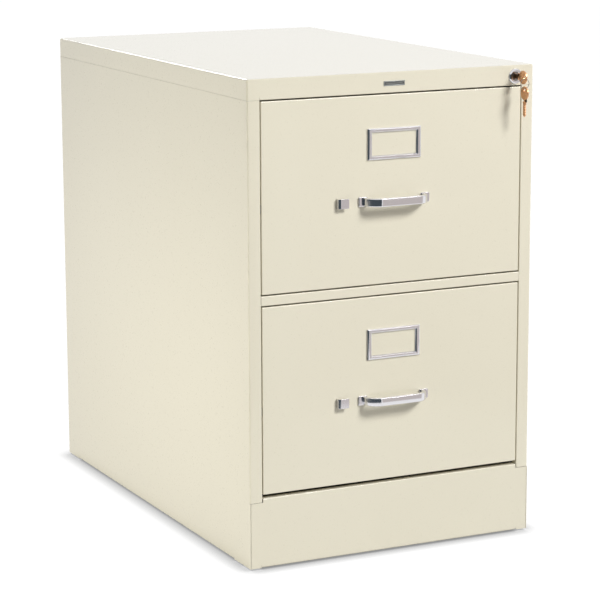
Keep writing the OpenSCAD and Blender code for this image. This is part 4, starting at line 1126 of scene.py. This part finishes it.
# --- Keys ---
# Two keys blanked from nickel-brass strip that has tanned to copper, each with a round bow with a
# hole in it and a blade with four cuts. A split ring of springy wire joins them.

def brassy(name, colour, stained):
    metal = Finish(name)
    stain = metal.noise(260.0, 4.0, 0.65)
    brush = metal.noise(1.0, 2.0, 0.5, metal.stretched((2600.0, 240.0, 240.0)))
    return metal.surface(
        "key_brass", Base_Color=metal.blend(stain, colour, stained), Metallic=1.0,
        Roughness=(stain - 0.5) * 0.16 + (brush - 0.5) * 0.12 + 0.30,
        Normal=metal.bump(brush, 0.00001, 0.35))


brass = brassy("key_brass", srgb(232, 182, 140), srgb(200, 146, 106))
BOW_H, BOW_LEN, NECK_LEN, NECK_W, HOLE_R, HOLE_IN = 0.020, 0.020, 0.004, 0.010, 0.0026, 0.005
CUTS, CUT_PITCH, CUT_DEEP, BOW_STEPS = 4, 0.0035, 0.0011, 40


def key_outline(blade_len):
    """A key in its own plane: along it from the shoulder, and up from its middle line."""
    first = math.asin(NECK_W / BOW_H)
    turns = [first + (2 * math.pi - 2 * first) * i / BOW_STEPS for i in range(BOW_STEPS + 1)]
    bow = [(-NECK_LEN - BOW_LEN / 2 + BOW_LEN / 2 * math.cos(a), BOW_H / 2 * math.sin(a))
           for a in turns]
    half = BLADE_W / 2
    top = [(-0.0008, NECK_W / 2), (0.0, NECK_W / 2 - 0.0008), (0.0, half),
           (blade_len - half, half), (blade_len - 0.0004, 0.0004), (blade_len, 0.0),
           (blade_len - half, -half)]
    cuts = []
    for i in range(CUTS):
        middle = blade_len - BLADE_W - CUT_PITCH * i
        cuts += [(middle + CUT_DEEP + 0.0003, -half), (middle + 0.0003, -half + CUT_DEEP),
                 (middle - 0.0003, -half + CUT_DEEP), (middle - CUT_DEEP - 0.0003, -half)]
    under = [(0.0, -half), (0.0, 0.0008 - NECK_W / 2), (-0.0008, -NECK_W / 2)]
    return (top + cuts + under + bow)[::-1]


def key_piece(name, node, shoulder, along, up):
    low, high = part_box(node)
    length = max(high.y - low.y, high.z - low.z) - BOW_LEN - NECK_LEN
    hole = round_outline(HOLE_R, 24, (HOLE_IN - NECK_LEN - BOW_LEN, 0.0))
    blank = cut_plate(key_outline(length), Vector(shoulder) - X * (key_t / 2), key_t, 0.00035, 3,
                      [hole], (along, up, -X))
    new_piece(name, blank, brass, node, node)


key_piece("lock_key", "key", (lock_x, key_low.y + BOW_LEN + NECK_LEN, lock_z), Y, Z)
spare_low, spare_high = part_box("spare_key")
spare_y = (spare_low.y + spare_high.y) / 2
key_piece("hanging_key", "spare_key", (lock_x, spare_y, spare_high.z - BOW_LEN - NECK_LEN), -Z, Y)

RING_WIRE, RING_TURNS = 0.0012, 2.0
RING_LENGTH, RING_THIN = 0.5, 0.27  # the coil's length and the wire's radius against RING_WIRE
low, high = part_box("key_ring")
rings = coil_tree("split_ring", 48, (math.pi / 2, 0.0, 0.0), 12)
ring = rings.make(
    "key_split_ring", bpy.data.meshes.new("ring_seed"), Turns=RING_TURNS,
    Radius=(high.x - low.x - RING_WIRE) / 2, Length=RING_WIRE * RING_LENGTH,
    Wire=RING_WIRE * RING_THIN)
ring.data.transform(Matrix.Translation((low + high) / 2 + Y * (RING_WIRE / 4)))
ring.data.shade_smooth()
new_piece("key_split_ring", ring, wire_steel, "key_ring", "key_ring", slot="chrome")


# --- Badge ---
# A small plain plate of satin metal with a raised rim, pressed into the middle of the header. It is
# left bare.

FIELD_DROP, FIELD_IN = 0.25, 2.0  # millimetres


def satin_metal(name, colour, light):
    satin = Finish(name)
    brushed = satin.noise(1.0, 2.0, 0.5, satin.stretched((90.0, 90.0, 2400.0)))
    return satin.surface(
        "badge_metal", Base_Color=satin.blend(brushed, colour, light), Metallic=1.0,
        Roughness=(brushed - 0.5) * 0.2 + 0.36, Normal=satin.bump(brushed, 0.00001, 0.5))


badge_metal = satin_metal("badge_satin", srgb(128, 134, 134), srgb(168, 172, 170))
low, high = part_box("badge_plate")
deep = (high.y - low.y) * 1000
sunk = deep - FIELD_DROP
edge = mitred_frame(low, high, [
    (0.0, 0.0), (0.0, sunk), (0.25, deep), (0.7, deep), (0.95, sunk + 0.03), (1.1, sunk),
    (3.2, sunk), (3.2, 0.0)])
field = cut_plate(rectangle(
    high.x - low.x - FIELD_IN / 500, high.z - low.z - FIELD_IN / 500,
    ((low.x + high.x) / 2, (low.z + high.z) / 2)),
    (0.0, low.y + FIELD_DROP / 1000, 0.0), sunk / 1000)
new_piece("bare_badge", merged(edge, field), badge_metal, "case", "badge_plate")


# --- Finished size ---
# The cabinet's bounds as finished. Nothing rescales it from the size that it was drawn at.

low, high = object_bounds()
